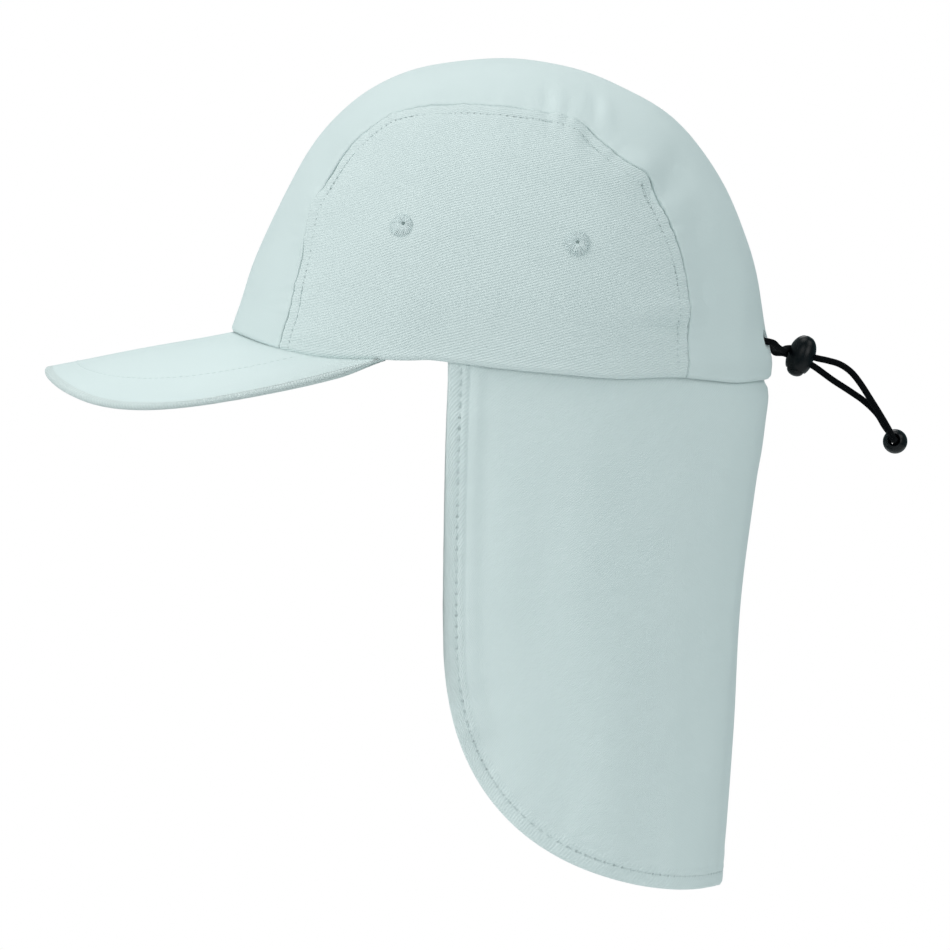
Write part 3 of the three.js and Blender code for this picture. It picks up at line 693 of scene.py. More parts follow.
def buildCentrePanel():
    rows, shares = crowded(250), crowded(160) * 2 - 1
    outer = crownLine(shares, -crown["seamSlit"] / 2, rows)
    normal = crownNormal(outer)
    inner = insideOf(outer, (0, -1))
    seam = seamPoints(np.linspace(0, 1, seams["samples"]))
    onRight = outer * np.where(outer[..., 1:2] < 0, (1, -1, 1), (1, 1, 1))
    distance, along = nearestOn(seam, onRight)
    length = reached(outer)
    fromRim = np.minimum(length, length[-1] - length)
    uneven = 0.65 + 0.5 * softNoise(np.stack([along, along], -1), 3, 9)
    lift = -0.34 * pressedAt(outer) * bump(distance, 0, 0.45) * uneven
    lift += 0.08 * bump(distance, 1.3, 0.9)
    left, right = seamRelief(distance, along, 3), seamRelief(distance, along, 8)
    lift += np.where(outer[..., 1] < 0, left, right)
    lift += 0.3 * softNoise(outer, 34, 5) - 0.7 * bump(fromRim, 0, 0.6) + 0.2 * bump(fromRim, 1.8,
                                                                                     1.2)
    lift += dented(outer) * smoothStep(np.abs(outer[..., 1]), 18, 40)
    outer = outer + normal * lift[..., None]
    points, faces = clothWalls(outer, inner)
    count = outer.shape[0] * outer.shape[1]
    middle = points[faces].mean(1)
    keep = np.ones(len(faces), bool)
    for hand in (-1, 1):
        point, out, aside = slitFrame(hand)
        offset = middle - point
        wide, tall = (offset @ aside) / slits["halfWidth"], offset[:, 2] / slits["halfHeight"]
        inHole = wide ** 2 + tall ** 2 < 1
        keep &= ~(inHole & (np.abs(offset @ out) < slits["cutDepth"]))
    faces = facingOut(points, faces[keep])
    across = acrossOf(outer)
    uv = bothFaces(across - across[:, shares.size // 2][:, None], length)
    material = (faces.min(1) >= count).astype(int)
    panel = finishMesh("crown_centre_cloth", points, faces, "cap", {"clothUV": uv},
                       [centreCloth, innerCloth], material)
    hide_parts("crown_centre_panel")


def sideSurface(side, rows, columns, shift):
    # the panel between its stretch of the rim and the seam, filled in the side view
    sideRows, steps = 9, 34
    low, high = sideRows / steps, 1 - sideRows / steps
    seam0, seam1 = seamPoints(np.array([0.0, 1.0]), shift)
    front, rear = seamPoints(low * rows, shift), seamPoints(1 - low * rows, shift)
    top = seamPoints(low + (high - low) * columns, shift)
    x = seam0[0] + (seam1[0] - seam0[0]) * columns
    z = np.zeros_like(x)
    for _ in range(8):
        z = rimHeight(x, crownSpread(x, z))
    bottom = np.stack([x, 0 * x, z], -1)
    u, v = columns[None, :, None], rows[:, None, None]
    upright = bottom[None] + (top - bottom)[None] * v
    level = front[:, None] + (rear - front)[:, None] * u
    foot = front[0] + (rear[0] - front[0]) * u
    head = top[0] + (top[-1] - top[0]) * u
    flat = upright + level - (foot * (1 - v) + head * v)
    return np.stack([flat[..., 0], side * crownSpread(flat[..., 0], flat[..., 2]), flat[..., 2]],
                    -1)


eyelets = {"radius": 4.4, "rearRadius": 4.9, "hole": 0.75, "threads": 40, "thread": 0.25,
           "rise": 0.5, "cut": 2.6, "cutDepth": 5.0,
           "skew": {"front": (1.0, 1.1), "rear": (0.2, 0.4)},
           "places": [("front", -0.3695, 0.445), ("rear", 0.2606, 0.391)]}


def eyeletFrame(along, rise, side):
    x, z = along * halfLength, rise * crown["height"]
    point = np.array([x, side * float(crownSpread(x, z)), z])
    normal = crownNormal(point)
    first = unit(np.cross((0, 0, 1.0), normal))
    return point, normal, first, np.cross(normal, first)


def buildSidePanel(side, name):
    rows, columns = crowded(120, 0.4), crowded(200, 0.4)
    outer = sideSurface(side, rows, columns, crown["seamSlit"] / 2)
    normal = crownNormal(outer)
    inner = insideOf(outer, (0,))
    seam = seamPoints(np.linspace(0, 1, seams["samples"])) * (1, side, 1)
    distance, along = nearestOn(seam, outer)
    up = reached(outer)
    lift = -0.4 * pressedAt(outer) * bump(distance, 0, 0.5) + 0.08 * bump(distance, 1.8, 1.2)
    lift -= 0.12 * bump(distance, seams["rowInset"], 0.7)
    lift += seamRelief(distance, along, 3 if side < 0 else 8)
    lift += 0.35 * softNoise(outer, 30, 11) - 0.7 * bump(up, 0, 0.6) + 0.2 * bump(up, 1.8, 1.2)
    corner = np.linalg.norm(outer - cornerPoint(side), axis=-1)
    lift -= 0.9 * bump(corner, 7.5, 4.5) * bump(outer[..., 0], cornerPoint(side)[0] + 2, 6)
    lift += 1.5 * dented(outer)
    outer = outer + normal * lift[..., None]
    points, faces = clothWalls(outer, inner)
    count = outer.shape[0] * outer.shape[1]
    middle = points[faces].mean(1)
    keep = np.ones(len(faces), bool)
    for _, place, rise in eyelets["places"]:
        point, out, first, second = eyeletFrame(place, rise, side)
        offset = middle - point
        inHole = np.hypot(offset @ first, offset @ second) < eyelets["cut"]
        keep &= ~(inHole & (np.abs(offset @ out) < eyelets["cutDepth"]))
    faces = facingOut(points, faces[keep])
    material = (faces.min(1) >= count).astype(int)
    panel = finishMesh(f"side_cloth_{name}", points, faces, "cap",
                       {"clothUV": bothFaces(outer[..., 0], up),
                        "seamUV": bothFaces(along, distance)},
                       [sideCloth, innerCloth], material)
    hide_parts(f"side_panel_{name}")
    # the row of stitches that follows the seam
    line = seamPoints(np.linspace(0.006, 0.994, 900)) * (1, side, 1)
    ahead = unit(np.gradient(line, axis=0))
    facing = crownNormal(line)
    inward = np.cross(facing, ahead)
    inward *= np.sign((inward * (outer.reshape(-1, 3).mean(0) - line)).sum(-1, keepdims=True))
    row = line + inward * seams["rowInset"]
    row[:, 1] = side * crownSpread(row[:, 0], row[:, 2])
    row = row[np.linalg.norm(np.gradient(row, axis=0), axis=-1) > 0.02]
    facing = crownNormal(row)
    relief = 0.35 * softNoise(row, 30, 11) - 0.2
    return row + facing * relief[:, None], facing


def cornerPoint(side):
    return crownFace(np.array(49.0), side * halfWidth * 0.68)


buildCentrePanel()
stitches = Joined()
for handName, hand in (("left", -1), ("right", 1)):
    stitchLine, stitchFacing = buildSidePanel(hand, handName)
    stitchRow(stitches, stitchLine, stitchFacing, stitch)
print("crown made")

threadMaterial, threadTree, threadShader = newMaterial("sewingThread", 0.7, 0.2)
threadVector = uvOf(threadTree, "clothUV")
threadTone = useGroup(threadTree, clothTone, threadVector, Pale=(0.74, 0.82, 0.815, 1),
                      Deep=(0.55, 0.66, 0.66, 1))
plug(threadTree, threadTone.outputs["Color"], threadShader.inputs["Base Color"])
threadTwist = useGroup(threadTree, twillWeave, threadVector, Rib_Spacing=0.0004, Rib_Angle=0.9,
                       Thread_Spacing=0.0004, Irregularity=0.2)
addRelief(threadTree, threadShader, threadTwist.outputs["Height"], 0.00008)

stitches.make("crown_stitches", [threadMaterial])


def buildEyelet(name, along, rise, sideName, side):
    point, out, first, second = eyeletFrame(along, rise, side)
    axes = np.stack([first, second, out], 1)
    made = Joined()
    r = eyelets["radius" if name == "front" else "rearRadius"]
    hole, top = eyelets["hole"], eyelets["rise"]
    skew = np.array(eyelets["skew"][name]) * (1 if side < 0 else -1, 1)

    def offCentre(p):
        away = np.clip(1 - np.hypot(p[:, 0], p[:, 1]) / r, 0, 1)
        return np.concatenate([p[:, :2] + skew * away[:, None], p[:, 2:]], -1)

    pad = [(hole, -2.3), (hole, 0.1), (1.35, top * 0.6), (2.6, top * 0.75), (3.8, top * 0.35),
           (r - 0.1, -0.15),
           (r - 0.1, -0.5), (1.6, -0.6), (1.6, -2.0), (3.2, -2.0), (3.6, -2.3), (3.0, -2.75),
           (1.4, -2.6), (hole, -2.3)]
    points, faces = lathe(pad, 48)
    made.add(offCentre(points) @ axes.T + point, faces[:, ::-1])
    rng = np.random.default_rng(4 + int(along * 10) + int(side))
    for k in range(eyelets["threads"]):
        turn = 2 * math.pi * (k + rng.uniform(-0.16, 0.16)) / eyelets["threads"]
        reach = r + rng.uniform(-0.22, 0.12)
        lean = rng.uniform(-0.05, 0.05)
        way = np.array([(hole - 0.05, -0.9), (hole + 0.02, -0.1), (1.4, top * 0.75), (2.2, top),
                        (3.1, top * 0.92),
                        (3.8, top * 0.6), (reach - 0.15, 0.12), (reach, -0.3)])
        angles = turn + lean * np.linspace(-1, 1, len(way))
        path = np.stack([way[:, 0] * np.cos(angles), way[:, 0] * np.sin(angles), way[:, 1]], -1)
        width = eyelets["thread"] * rng.uniform(0.75,
                                                1.15) * np.array([0.4, 0.45, 0.62, 0.85, 1, 1, 0.9,
                                                                  0.7])
        points, faces, uvs = tube(offCentre(path) @ axes.T + point, width, 7)
        made.add(points, faces, uvs * (0.6, 1))
    piece = made.make(f"eyelet_threads_{name}_{sideName}", [threadMaterial])
    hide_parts(f"eyelet_{name}_{sideName}")


for handName, hand in (("left", -1), ("right", 1)):
    for eyeletName, eyeletAlong, eyeletRise in eyelets["places"]:
        buildEyelet(eyeletName, eyeletAlong, eyeletRise, handName, hand)

slitEdges = Joined()
for hand in (-1, 1):
    slitPoint, slitOut, slitAside = slitFrame(hand)
    turn = np.linspace(0, 2 * math.pi, 97)
    ring = slitPoint + slitAside * (slits["halfWidth"] * np.cos(turn))[:, None] + np.array([0, 0,
                                                                                            1]) * (
        slits["halfHeight"] * np.sin(turn))[:, None]
    ring = crownRing(np.degrees(np.arctan2(ring[:, 1], ring[:, 0])), ring[:, 2])
    facing = crownNormal(ring)
    for k in range(64):
        share = k / 64 * 96
        index = int(share)
        centre, up = ring[index], facing[index]
        ahead = unit(ring[(index + 1) % 96] - ring[index])
        aside = np.cross(up, ahead)
        swing = np.linspace(-2.6, 1.6, 9)
        sideways, over = (0.4 * np.sin(swing))[:, None], (0.65 * np.cos(swing))[:, None]
        loop = centre - up * 0.55 + aside * sideways + up * over
        slitEdges.add(*tube(loop, 0.17, 6))
slitEdges.make("slit_stitching", [threadMaterial])
print("eyelets and slits made")

# peak
peakLook = {"thread": 0.0005, "threadDepth": 0.03, "ribSpacing": 0.0008, "ribAngle": 55,
            "ribThread": 0.0012, "ribDepth": 0.02, "ribWander": 0.6, "pale": (0.74, 0.82, 0.81, 1)}
# the edge band's pale and deep are darker than the top's: painted shade on the rolled edge that
# faces down
peakEdgeLook = {"thread": 0.0005, "threadDepth": 0.02, "ribSpacing": 0.0013, "ribAngle": 45,
                "ribThread": 0.0016, "ribDepth": 0.3, "ribWander": 0.08,
                "pale": (0.73, 0.80, 0.785, 1), "deep": (0.56, 0.64, 0.63, 1)}
peakCloth = clothMaterial("peakCotton", peakLook)
peakEdgeCloth = clothMaterial("peakEdgeTwill", peakEdgeLook)


def peakOutline(count, inset=0.0, tip=0.0):
    centreX = peak["corner"] - peak["length"] - halfLength
    turn = np.linspace(0, math.pi / 2, 241)
    x = centreX - (peak["corner"] - tip) * np.cos(turn) ** (2 / peak["rounding"])
    y = (peak["width"] / 2 - inset) * np.sin(turn) ** (2 / peak["rounding"])
    share = np.linspace(0, 1, 81)[1:]
    x = np.concatenate([x, centreX + (peakEndX - centreX) * share])
    y = np.concatenate([y, y[-1] + (peakEndY - inset - y[-1]) * share ** 2])
    half = atShares(np.stack([x, y, 0 * x], -1), np.linspace(0, 1, count))
    return np.concatenate([half[:0:-1] * (1, -1, 1), half])


def peakRoot(edge):
    rim = crownAt(np.degrees(np.arctan2(edge[:, 1], edge[:, 0])), peakFace) * (1, 1, 0)
    return rim - unit(rim) * crown["wall"]


def buildPeak():
    edge = peakOutline(150)
    root = peakRoot(edge)
    roll = (peak["edgeRoll"] * (1 - 0.78 * smoothStep(edge[:, 0], -66, -46)))[:, None]
    out = unit(edge - root)
    inset = edge - out * roll
    share = 1 - (1 - np.linspace(0, 1, 64)) ** 1.7
    rows = []
    for s in share:
        p = root + (inset - root) * s
        p[:, 2] = peakFace(p[:, 0], p[:, 1])
        rows.append(p)
    base = inset.copy()
    base[:, 2] = peakFace(inset[:, 0], inset[:, 1])
    up = peakNormal(inset[:, 1])
    along = unit(np.gradient(edge, axis=0))
    aside = unit(np.cross(along, up))
    aside *= np.sign((aside * out).sum(-1, keepdims=True))
    hub = base - up * roll
    for angle in np.linspace(0, math.pi, 15)[1:]:
        rows.append(hub + up * (roll * math.cos(angle)) + aside * (roll * math.sin(angle)))
    for back in (0.8, 1.8, 2.8):
        rows.append(hub - up * roll - aside * back * roll / peak["edgeRoll"])
    outer = np.array(rows)
    normals = gridNormals(outer)
    normals *= np.sign((normals[5] * peakNormal(outer[5, :, 1])).sum(-1).mean())
    lift = 0.22 * softNoise(outer, 30, 21)
    fade = np.ones(len(rows))
    fade[64:] = 0.3
    outer = outer + normals * (lift * fade[:, None])[..., None]
    inner = outer - normals * peak["cloth"]
    points, faces = clothWalls(outer, inner)
    width = outer.shape[1]
    down = reached(outer)
    across = acrossOf(outer)
    uv = bothFaces(across - across[:, width // 2][:, None], down)
    rowOf = (faces.min(1) % (len(rows) * width)) // width
    edgeRows = down.mean(1)
    band = edgeRows > edgeRows[63] - peak["edgeBand"]
    material = band[np.clip(rowOf, 0, len(rows) - 1)].astype(int)
    faces = outward(points, faces)
    top = finishMesh("peak_top_cloth", points, faces, "cap", {"clothUV": uv},
                     [peakCloth, peakEdgeCloth], material)
    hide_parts("peak_top_cover")
    # the cover beneath, inside the rolled edge
    rows = []
    deep = 2 * roll - 0.3
    for s in np.linspace(0, 1, 50):
        p = root + (edge - out * 1.6 - root) * s
        p[:, 2] = peakFace(p[:, 0], p[:, 1])
        rows.append(p - peakNormal(p[:, 1]) * (deep + 0.3 * (1 - s ** 6)))
    outer = np.array(rows)
    normals = peakNormal(outer[..., 1])
    outer = outer + normals * (0.2 * softNoise(outer, 26, 31))[..., None]
    inner = outer + normals * (0.5 * roll[None, :, :] / peak["edgeRoll"])
    points, faces = clothWalls(outer, inner)
    uv = bothFaces(outer[..., 1], reached(outer))
    under = finishMesh("peak_under_cloth", points, outward(points, faces), "cap",
                       {"clothUV": uv}, [peakCloth])
    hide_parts("peak_under_cover")


buildPeak()
peakStitches = Joined()
arc = peakOutline(260, peak["stitchInset"], 12.0)
arc[:, 2] = peakFace(arc[:, 0], arc[:, 1])
arc = arc[crownLevel(arc[:, 0], arc[:, 1], arc[:, 2]) > 1.04]
arcFacing = peakNormal(arc[:, 1])
arc = arc + arcFacing * (0.22 * softNoise(arc, 30, 21) - 0.1)[:, None]
stitchRow(peakStitches, arc, arcFacing, {"pitch": 2.4, "length": 1.9, "radius": 0.15})
peakStitches.make("peak_stitches", [threadMaterial])
print("peak made")

# neck flap
flap = {"drop": 191.0, "top": -4.0, "front": 20.7, "overlap": 6.0, "wall": 1.4,
        "cornerAlong": 131.0, "cornerUp": 104.0, "cornerRounding": 2.67, "sideLift": 3.7,
        "foldsFrom": 0.02, "foldsFull": 0.7, "fitGap": 0.9, "hem": 7.5, "hemRise": 0.22,
        "stitchRow": 4.9}
flapPlan = [(0, 1, 1, 1), (.007, 1.012, 1, 1.003), (.03, 1.021, 1, 1.012),
            (.08, 1.01, 1.001, 1.03), (.134, .996, 1.003, 1.046), (.2, .972, 1.005, 1.06),
            (.44, .904, 1.015, 1.09), (.7, .868, 1.025, 1.09), (1, .825, 1.035, 1.09)]
flapFolds = [(-.9, .05, -.004), (-.6, .12, .008), (-.3, .09, -.006), (.08, .1, .016),
             (.36, .08, -.014), (.62, .12, .014), (.9, .05, -.008)]
flapLook = {"thread": 0.00052, "threadDepth": 0.035, "ribSpacing": 0.0008, "ribAngle": -42,
            "ribThread": 0.0012, "ribDepth": 0.06, "ribWander": 0.5}
hemLook = {"thread": 0.0005, "threadDepth": 0.03, "ribSpacing": 0.0013, "ribAngle": -42,
           "ribThread": 0.0018, "ribDepth": 0.13, "ribWander": 0.12, "stitchRow": 4.9,
           "stitchPitch": 4.0, "holeSize": 0.66, "holeShade": 0.75, "holeDepth": 0.3}
flapCloth = clothMaterial("flapCotton", flapLook)
hemCloth = clothMaterial("flapHemTwill", hemLook)


def flapHalf(height):
    inset = crown["wall"] + flap["fitGap"]
    level = max(height, flap["top"])
    frontAngle = float(edgeOf(0, 180, lambda a: crownRing(a, level)[..., 0] > -flap["front"]))
    under = crownRing(np.linspace(0, 1, 121) * frontAngle, level)
    under = under - levelNormal(under) * inset
    down = max(0, flap["top"] - height) / flap["drop"]
    rearNow = under[0, 0] * smoothTable(flapPlan, down, 1)
    frontNow = -flap["front"] * smoothTable(flapPlan, down, 3)
    scale = (rearNow - frontNow) / (under[0, 0] + flap["front"])
    return np.stack([frontNow + (under[:, 0] + flap["front"]) * scale,
                     under[:, 1] * smoothTable(flapPlan, down, 2),
                     0 * under[:, 0] + height], -1)


def flapGrid(places, rowShares):
    # the outer face and its level normals
    away = np.abs(places)
    top = flapHalf(flap["top"])
    halfPath = reached(top)[-1]
    under = atShares(top, away)
    topHeight = rimHeight(under[:, 0], under[:, 1]) + flap["overlap"]
    distance = halfPath * (1 - away)
    bottom = flap["top"] - flap["drop"] + flap["sideLift"] * (1 - (distance / halfPath) ** 3)
    short = np.maximum(0, 1 - distance / flap["cornerAlong"]) ** flap["cornerRounding"]
    bottom = bottom + flap["cornerUp"] * (1 - (1 - short) ** (1 / flap["cornerRounding"]))
    height = topHeight + (bottom - topHeight) * rowShares[:, None]
    levels = np.concatenate([np.linspace(height.min(), flap["top"], 70),
                             np.linspace(flap["top"], height.max(), 12)[1:]])
    halves = [flapHalf(h) for h in levels]
    fine = 0.01

    def atHeights(shift):
        shares = np.clip(away + shift, 0, 1)
        curve = np.stack([atShares(h, shares) for h in halves])
        columns = [[np.interp(height[:, j], levels, curve[:, j, i]) for i in range(2)]
                   for j in range(len(away))]
        return np.stack([np.stack(column, -1) for column in columns], 1)

    points, before, after = (atHeights(shift) for shift in (0, -fine, fine))
    run = unit(after - before)
    normal = np.stack([run[..., 1], -run[..., 0], 0 * run[..., 0]], -1)
    normal[:, away < 1e-6] = (1, 0, 0)
    down = np.maximum(0, flap["top"] - height) / flap["drop"]
    fold = sum(d * np.exp(-(((places - a) / w) ** 2)) for a, w, d in flapFolds)
    fold = crown["width"] * fold[None] * smoothStep(down, flap["foldsFrom"], flap["foldsFull"])
    outer = np.concatenate([points, height[..., None]], -1) + normal * fold[..., None]
    hand = np.where(places < 0, -1, 1)[None, :]
    outer[..., 1] *= hand
    normal[..., 1] *= hand
    return outer, normal


def flapSway(points):
    return 0.4 * softNoise(points * (1, 1, 0.35), 26, 43) * smoothStep(-points[..., 2], 4, 40)


def buildFlap():
    places = crowded(290, 0.3) * 2 - 1
    rowShares = np.concatenate([np.linspace(0, 0.8, 90)[:-1],
                                0.8 + 0.2 * np.sin(np.linspace(0, math.pi / 2, 50))])
    outer, normal = flapGrid(places, rowShares)
    edge = np.concatenate([outer[:, 0], outer[-1, 1:-1], outer[::-1, -1]])
    dense = atShares(edge, np.linspace(0, 1, 3600))
    distance, along = nearestOn(dense, outer)
    inHem = 1 - smoothStep(distance, flap["hem"] - 0.5, flap["hem"] + 0.25)
    fades = 0.35 + 0.65 * smoothStep(outer[..., 2], -150, -20)
    lift = flap["hemRise"] * inHem * fades - 0.2 * bump(distance, flap["hem"] + 0.6, 0.7) * fades
    lift += -0.22 * bump(distance, flap["stitchRow"], 0.8) - 0.5 * bump(distance, 0, 0.6)
    lift += (0.3 * bump(distance, 11, 2.2) - 0.25 * bump(distance, 15, 3)) * fades
    line = np.stack([along, along * 0.3], -1)
    lift += 0.3 * softNoise(line, 11, 41) * np.exp(-np.abs(distance - 6) / 7)
    lift += flapSway(outer)
    inner = outer - normal * flap["wall"]
    outer = outer + normal * lift[..., None]
    inner += normal * flapSway(outer)[..., None]
    points, faces = clothWalls(outer, inner)
    count = outer.shape[0] * outer.shape[1]
    across = acrossOf(outer)
    uv = bothFaces(across - across[:, len(places) // 2][:, None], outer[..., 2])
    hemFace = distance.reshape(-1)[faces % count].mean(1) < flap["hem"]
    material = np.where(hemFace, 1, np.where(faces.min(1) >= count, 2, 0))
    faces = outward(points, faces)
    made = finishMesh("neck_flap_cloth", points, faces, "cap",
                      {"clothUV": uv, "seamUV": bothFaces(along, distance)},
                      [flapCloth, hemCloth, innerCloth], material)
    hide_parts("neck_flap")
    # stitches of the hem, on the grid's own face
    rowLine = hemStitchLine(outer, normal, distance, dense)
    joined = Joined()
    stitchRow(joined, *rowLine, {"pitch": 4.0, "length": 2.7, "radius": 0.13})
    joined.make("flap_stitches", [threadMaterial])


def hemStitchLine(outer, normal, distance, edge):
    # follows the free edge at the stitch row's distance
    ahead = unit(np.gradient(edge, axis=0))
    tree = kdtree.KDTree(distance.size)
    flat, facing = outer.reshape(-1, 3), normal.reshape(-1, 3)
    for i, p in enumerate(flat):
        tree.insert(p, i)
    tree.balance()
    line, faces = [], []
    for p, a in zip(edge[40:-40:4], ahead[40:-40:4]):
        inward = np.cross(facing[tree.find(p)[1]], a)
        target = p + inward * flap["stitchRow"]
        other = p - inward * flap["stitchRow"]
        a1, a2 = tree.find(target), tree.find(other)
        best, goal = (a1, target) if a1[2] < a2[2] else (a2, other)
        n = facing[best[1]]
        line.append(goal - n * ((goal - flat[best[1]]) @ n))
        faces.append(n)
    line, faces = np.array(line), np.array(faces)
    smooth = np.ones(5) / 5
    line = np.stack([np.convolve(np.pad(line[:, i], 2, mode="edge"), smooth, "valid")
                     for i in range(3)], -1)
    return line, faces


buildFlap()
print("neck flap made")

# drawcord casing
casing = {"height": 11.0, "wall": 1.2, "angle": 34.0, "cord": 2.5, "clearance": 0.3, "steps": 150}


def buildCasing():
    lip = crown["wall"] + flap["fitGap"]
    back = lip + casing["cord"] + 2 * casing["clearance"] + casing["wall"]
    low = slits["rise"] - casing["height"] / 2
    share = np.linspace(0, 1, 41)
    swell = np.clip(np.minimum(share, 1 - share) / 0.24, 0, 1)
    swell = np.sin(swell * math.pi / 2) ** 0.9
    depth = lip + 0.9 + (back - lip - 0.9) * swell
    height = low + casing["height"] * share
    angle = np.linspace(-casing["angle"], casing["angle"], casing["steps"] + 1)
    grid, within = [], []
    for d, h in zip(depth, height):
        p = crownRing(angle, h)
        n = levelNormal(p)
        wave = 0.18 * softNoise(p, 7, 51) * (1 - abs(2 * (h - low) / casing["height"] - 1))
        grid.append(p - n * (d + wave)[:, None])
        within.append(p - n * np.maximum(lip, d + wave - 0.9)[:, None])
    outer, inner = np.array(grid), np.array(within)
    points, faces = clothWalls(outer, inner)
    faces = outward(points, faces)
    strip = finishMesh("casing_cloth", points, faces, "cap",
                       {"clothUV": bothFaces(acrossOf(outer), reached(outer))}, [innerCloth])
    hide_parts("drawcord_casing")
    joined = Joined()
    for row in (4, -5):
        normals = -levelNormal(outer[row])
        stitchRow(joined, outer[row], normals, stitch)
    joined.make("casing_stitches", [threadMaterial])


buildCasing()
print("casing made")

# drawcord, lock and bead
cord = {"diameter": 2.5, "sides": 16, "lock": (12.7, 0, -6.05), "bead": (48.3, 0, -38.3)}
anchor = crownRing(np.array(0.0), slits["rise"])
cordRoute = [(-12.4, -36.4, 0), (-8.6, -28.4, 0), (-6.9, -22, 0), (-5.6, -19, -.1),
             (-2.8, -16.4, -.3), (1.5, -13.2, -1.2), (3.4, -9.6, -2.8), (5.4, -5.2, -3.8),
             (7.1, -1.2, -3.3), (9.2, 0, -3.2), (13.25, 0, -4.72), (18, 0, -6.7),
             (22.8, -.4, -7.8), (27.3, -1, -9.2), (31.5, -1.5, -12.1), (35, -1.6, -16.4),
             (38.6, -1.7, -22), (42.1, -1.9, -27.6), (44.7, -3.8, -32.2), (46.1, -5.7, -35),
             (46.9, -6.1, -36.9), (47.5, -4.2, -37.6), (48.3, 0, -38.3), (49.1, 4.2, -39),
             (48.9, 6.1, -38.1), (47.5, 6.4, -36.2), (44.7, 4.2, -32.6), (41.7, 1.9, -28),
             (36.9, 1.6, -23.3), (31.5, 1.4, -19.5), (24.7, .8, -15.1), (16.9, 0, -9.6),
             (12.15, 0, -7.38), (8.1, 0, -5.7), (6.2, .9, -5), (4.9, 4, -4.9), (3.4, 8, -4.7),
             (2.1, 12.2, -3), (-2.8, 16.4, -.9), (-5.6, 19, -.2), (-6.9, 22, 0), (-8.6, 28.4, 0),
             (-12.4, 36.4, 0)]


def curveThrough(points, each):
    # a smooth line through the points, with knots spaced by the root of their distance
    points = np.array(points, float)
    points = np.concatenate([[2 * points[0] - points[1]], points, [2 * points[-1] - points[-2]]])
    made = []
    for i in range(len(points) - 3):
        p = points[i:i + 4]
        k = np.concatenate([[0], np.cumsum(np.sqrt(np.linalg.norm(np.diff(p, axis=0), axis=1)))])
        t = np.linspace(k[1], k[2], each, endpoint=False)[:, None]
        a = [((k[j + 1] - t) * p[j] + (t - k[j]) * p[j + 1]) / (k[j + 1] - k[j]) for j in range(3)]
        b = [((k[j + 2] - t) * a[j] + (t - k[j]) * a[j + 1]) / (k[j + 2] - k[j]) for j in range(2)]
        made.append(((k[2] - t) * b[0] + (t - k[1]) * b[1]) / (k[2] - k[1]))
    return np.concatenate(made + [points[-2][None]])


elasticMaterial, elasticTree, elasticShader = newMaterial("blackElastic", 0.9)
elasticShader.inputs["Specular IOR Level"].default_value = 0.12
elasticVector = uvOf(elasticTree, "clothUV")
elasticBraid = useGroup(elasticTree, twillWeave, elasticVector, Rib_Spacing=0.0007, Rib_Angle=0.7,
                        Thread_Spacing=0.0005, Irregularity=0.15)
# the braid's grooves are painted darker through its relief: painted shade
elasticTone = useGroup(elasticTree, clothTone, elasticVector, Pale=(0.0012, 0.0018, 0.0026, 1),
                       Deep=(0.0004, 0.0007, 0.001, 1), Relief=elasticBraid.outputs["Height"])
plug(elasticTree, elasticTone.outputs["Color"], elasticShader.inputs["Base Color"])
addRelief(elasticTree, elasticShader, elasticBraid.outputs["Height"], 0.00005)

plasticMaterial, plasticTree, plasticShader = newMaterial("lockPlastic", 0.4)
plasticShader.inputs["Specular IOR Level"].default_value = 0.22
plasticPlace = plasticTree.nodes.new("ShaderNodeTexCoord")
plasticNoise = noiseIn(plasticTree, plasticPlace.outputs["Object"], 900.0, 3.0, 0.6)
plasticTone = blendOf(plasticTree, plasticNoise, (0.0012, 0.002, 0.003, 1),
                      (0.0025, 0.004, 0.0055, 1))
plug(plasticTree, plasticTone, plasticShader.inputs["Base Color"])
plug(plasticTree, calc(plasticTree, "MULTIPLY_ADD", plasticNoise, 0.12, 0.24),
     plasticShader.inputs["Roughness"])
addRelief(plasticTree, plasticShader, plasticNoise, 0.00003)

cordLine = curveThrough(cordRoute, 9) + anchor
cordPoints, cordFaces, cordUV = tube(cordLine, cord["diameter"] / 2, cord["sides"])
cordUV = cordUV * (cord["diameter"] * math.pi, 1)
capStart, capEnd = list(range(cord["sides"]))[::-1], list(range(len(cordPoints) - cord["sides"],
                                                                len(cordPoints)))
drawcord = finishMesh("drawcord_loop", cordPoints, cordFaces.tolist() + [capStart, capEnd], "cap",
                      {"clothUV": cordUV}, [elasticMaterial])
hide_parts("drawcord")

lock = {"length": 16.1, "width": 10.4, "rounding": 2.2, "tilt": 22.0, "mouth": 2.25,
        "strandSpacing": 2.9, "strandPlay": 0.4, "buttonRadius": 3.3, "travel": 1.8, "bridge": 0.9,
        "taper": 1.0}
strandTop = lock["strandSpacing"] / 2 + cord["diameter"] / 2 + 0.3
strandWidth = cord["diameter"] + 2 * lock["strandPlay"]
mouthLevel = lock["mouth"] - lock["length"] / 2
buttonTop = strandTop + lock["bridge"]
boreRadius = lock["buttonRadius"] + 0.3
boreEnd = buttonTop + lock["travel"] + 0.3


def placedOnCord(place, *turns):
    # where a piece sits on the cord, and how it is turned there
    matrix = Matrix.Translation(Vector(anchor) + Vector(place))
    for degrees, axis in turns:
        matrix = matrix @ Matrix.Rotation(math.radians(degrees), 4, axis)
    return matrix


lockMatrix = placedOnCord(cord["lock"], (lock["tilt"], "Y"))


def slotCutter(width, low, high):
    # a long prism along X with round ends, to cut the way for the strands
    turn = np.linspace(0, math.pi, 17)
    r = width / 2
    y = np.concatenate([r * np.cos(turn), -r * np.cos(turn)])
    z = np.concatenate([high - r + r * np.sin(turn), low + r - r * np.sin(turn)])
    ring = np.stack([y, z], -1)
    points = np.concatenate([np.column_stack([np.full(len(ring), x), ring]) for x in (-12, 12)])
    n = len(ring)
    faces = [[i, (i + 1) % n, n + (i + 1) % n, n + i] for i in range(n)]
    faces += [list(range(n))[::-1], list(range(n, 2 * n))]
    return points, faces


